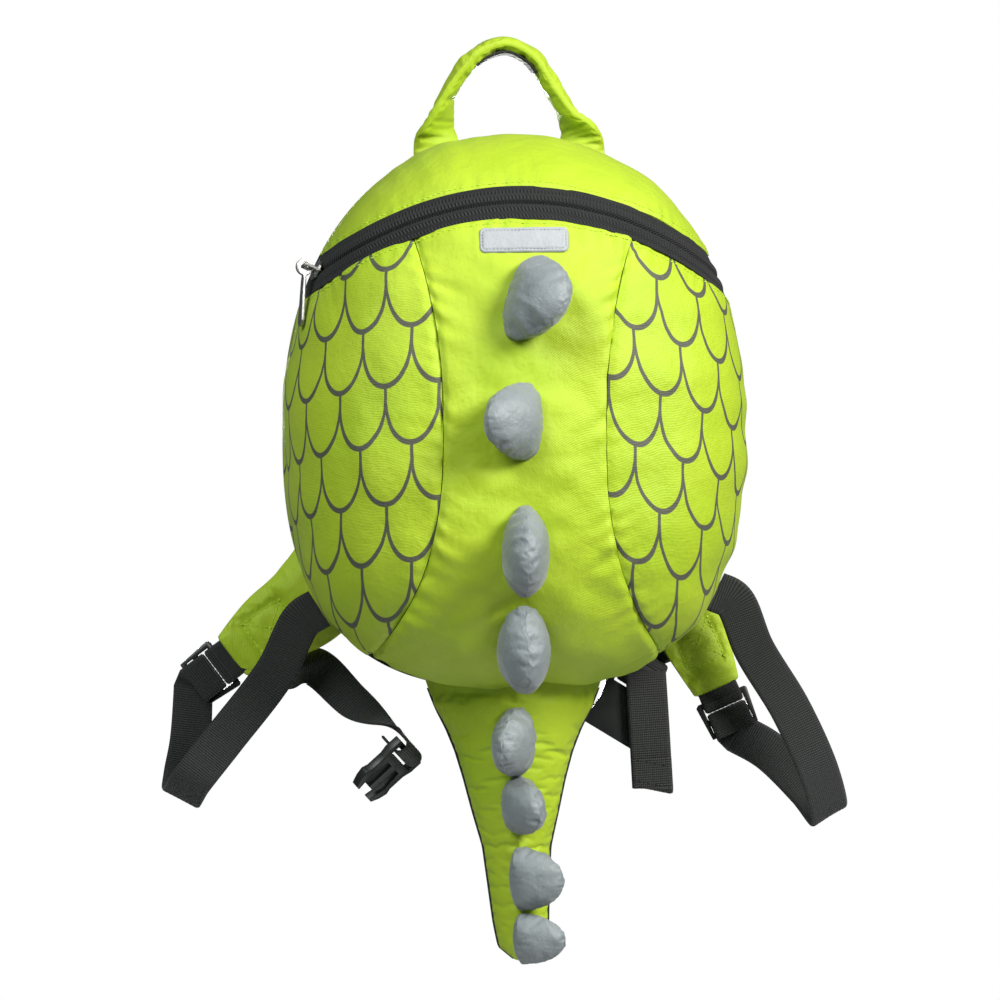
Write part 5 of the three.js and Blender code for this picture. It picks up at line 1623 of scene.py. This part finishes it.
# %% Chest webbing
def chest_point(across, reach, down):
    return np.array([across * HALF_WIDTH, PAD_Y + reach * STRAP_BOW, TOP_Z - down * BAG_HEIGHT])


def sewn_stations(pad, index):
    places, widths = pad
    along = unit(places[index + 1] - places[index - 1])
    w = widths[index]
    out_way = matched(np.cross(along, w), Y_AXIS)
    way = matched(w, -Z_AXIS)
    across = np.cross(out_way, way)
    centre = places[index] + out_way * (PAD_THICKNESS / 2 + GAP + WEB_THICKNESS / 2)
    return [centre + way * share * WEB_WIDTH for share in (-0.5, 0.3, 1.1)], [across] * 3


def aligned(widths):
    rows = [np.asarray(widths[0], float)]
    for w in widths[1:]:
        rows.append(matched(np.asarray(w, float), rows[-1]))
    return rows


BUCKLE_WRAP = wrap_radius(PLUG_THICKNESS)
plug_bar = chest_point(-0.46, -0.1, 1.115)
plug_along = unit(np.array([-0.74, 0, -0.67]))
plug_turn = math.radians(55)
plug_wide = unit(np.array([0.67, 0, -0.74])) * math.cos(plug_turn) + Y_AXIS * math.sin(plug_turn)
plug_out = np.cross(plug_along, plug_wide)
left_places, left_widths = sewn_stations(pads["left"], 16)
outer = plug_bar - plug_along * BUCKLE_WRAP
left_places += [chest_point(-0.86, 0.36, 0.963), chest_point(-0.68, 0.26, 1.03),
                outer - plug_out * WEB_WIDTH / 2, outer - plug_out * BAR]
left_widths = aligned(left_widths + [(0.7, 0.2, 0.7), (0.6, 0.5, 0.6), plug_wide, plug_wide])
line, wide = stations(left_places, left_widths, 150)
w = matched(plug_wide, wide[-1])
wrap = half_turn(plug_bar, -plug_along, plug_out, BUCKLE_WRAP)
inner = plug_bar + plug_along * BUCKLE_WRAP - plug_out * WEB_WIDTH / 2
line = np.concatenate([line, wrap, [inner]])
wide = np.concatenate([wide, held(w, len(wrap) + 1)])
webbing("chest_web_left", line, wide, WEB_WIDTH, WEB_THICKNESS, "chest_webbing_left")

socket_bar = chest_point(0.56, 0.34, 0.99)
socket_along = unit(np.array([-0.52, 0, -0.86]))
socket_wide = unit(np.array([0.86, 0, -0.52]))
END_FOLD, FREE_END = 1.7, 57.0
HEM_LONG, HEM_TURN = 14.0, 0.85
rise = -socket_along
rear = socket_bar + Y_AXIS * BUCKLE_WRAP
right_places, right_widths = sewn_stations(pads["right"], 16)
right_places += [rear + rise * WEB_WIDTH * 0.55 + Y_AXIS * GAP, rear + rise * BAR]
line, wide = stations(right_places, aligned(right_widths + [socket_wide, socket_wide]), 120)
w = matched(socket_wide, wide[-1])
fore = socket_bar - Y_AXIS * BUCKLE_WRAP + rise * 2 * BAR
fold = fore - Y_AXIS * END_FOLD
hang = fold - Y_AXIS * END_FOLD
straight = unit(np.array([0.06, 0, -1]))
hang_wide = unit(np.array([0.98, 0, -0.2])) * np.sign(w[0])
fall = np.linspace(0.06, 1, 60)[:, None]
curl = -Y_AXIS * 1.1 * np.sin(fall * math.pi)
free = hang + straight * FREE_END * fall + curl
turning = np.clip(fall * 2, 0, 1)
free_wide = unit(w * (1 - turning) + hang_wide * turning)
wraps = [half_turn(socket_bar, Y_AXIS, socket_along, BUCKLE_WRAP),
         half_turn(fold, Y_AXIS, rise, END_FOLD, 12)]
tip, tip_wide = free[-1], free_wide[-1]
hem_turn = half_turn(tip - Y_AXIS * HEM_TURN, Y_AXIS, straight, HEM_TURN, 10)
hem = hem_turn[-1] - straight * np.linspace(0.1, 1, 12)[:, None] * HEM_LONG
line = np.concatenate([line, *wraps, free[:-1], hem_turn, hem])
wide = np.concatenate([wide, held(w, sum(map(len, wraps))), free_wide[:-1],
                       held(tip_wide, len(hem_turn) + len(hem))])
free_web = webbing("chest_web_right", line, wide, WEB_WIDTH, WEB_THICKNESS, "chest_webbing_right")
across = np.linspace(-0.42, 0.42, 24)[:, None] * WEB_WIDTH * tip_wide
hem_lines = [cast(free_web, hem_turn[-1] - straight * HEM_LONG * down + across, Y_AXIS, 0.15)
             for down in (0.12, 0.86)]
hem_stitch = beads("hem_stitch", hem_lines, BLACK_THREAD,
                   spacing=2.0, length=1.6, width=0.55, height=0.45, seed=9)
settle(hem_stitch, "black_fabric")

# %% [markdown]
# Hard parts already have their right shape in CAD, with sharp edges. A copy is
# merged, its flat faces are joined again, and a small bevel gives each edge the radius
# that a mould leaves, so that it catches the light.

# %% Moulded and cast parts
def softened(name, node, material, slot, width, body="bag"):
    shape = bmesh.new()
    shape.from_mesh(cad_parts[node].data)
    bmesh.ops.remove_doubles(shape, verts=shape.verts, dist=2e-6)
    bmesh.ops.dissolve_limit(shape, angle_limit=math.radians(1.5), verts=shape.verts, edges=shape.edges)
    mesh = bpy.data.meshes.new(name)
    shape.to_mesh(mesh)
    shape.free()
    piece = link(name, mesh)
    bevel = piece.modifiers.new("bevel", "BEVEL")
    bevel.width = width * MM
    bevel.segments = 2
    bevel.limit_method = "ANGLE"
    bevel.angle_limit = math.radians(28)
    result = frozen(piece, name)
    piece.modifiers.clear()
    piece.data = result
    result.set_sharp_from_angle(angle=math.radians(35))
    result.materials.clear()
    result.materials.append(material)
    return settle(piece, slot, node, body=body)


for node in ("adjuster_left", "adjuster_right", "chest_plug", "chest_socket"):
    softened(node + "_moulding", node, NYLON, "black_plastic", 0.35)
softened("slider_casting", "zip_slider", PLATED, "nickel", 0.22)
softened("pull_casting", "zip_pull", PLATED, "nickel", 0.3, body="pull")

# %% [markdown]
# The floor is a plain pale disc, well under the tail, so that the bag is seen to hang.

# %% Floor
def floor_finish():
    finish = Finish("pale_floor")
    cloud = finish.noise(3)
    colour = finish.mix(cloud, (0.82, 0.82, 0.82), (0.77, 0.77, 0.77))
    return finish.skin(Base_Color=colour, Roughness=0.7 + cloud * 0.1, Normal=finish.relief(cloud, 0.001))


FLOOR_Z, FLOOR_RADIUS = -1100.0, 620.0
turns = np.linspace(0, 2 * np.pi, 96, endpoint=False)
disc = np.stack([FLOOR_RADIUS * np.cos(turns), FLOOR_RADIUS * np.sin(turns), np.full(96, FLOOR_Z)], -1)
floor = make_mesh("floor", disc, [tuple(range(96))], floor_finish(), closed=False)
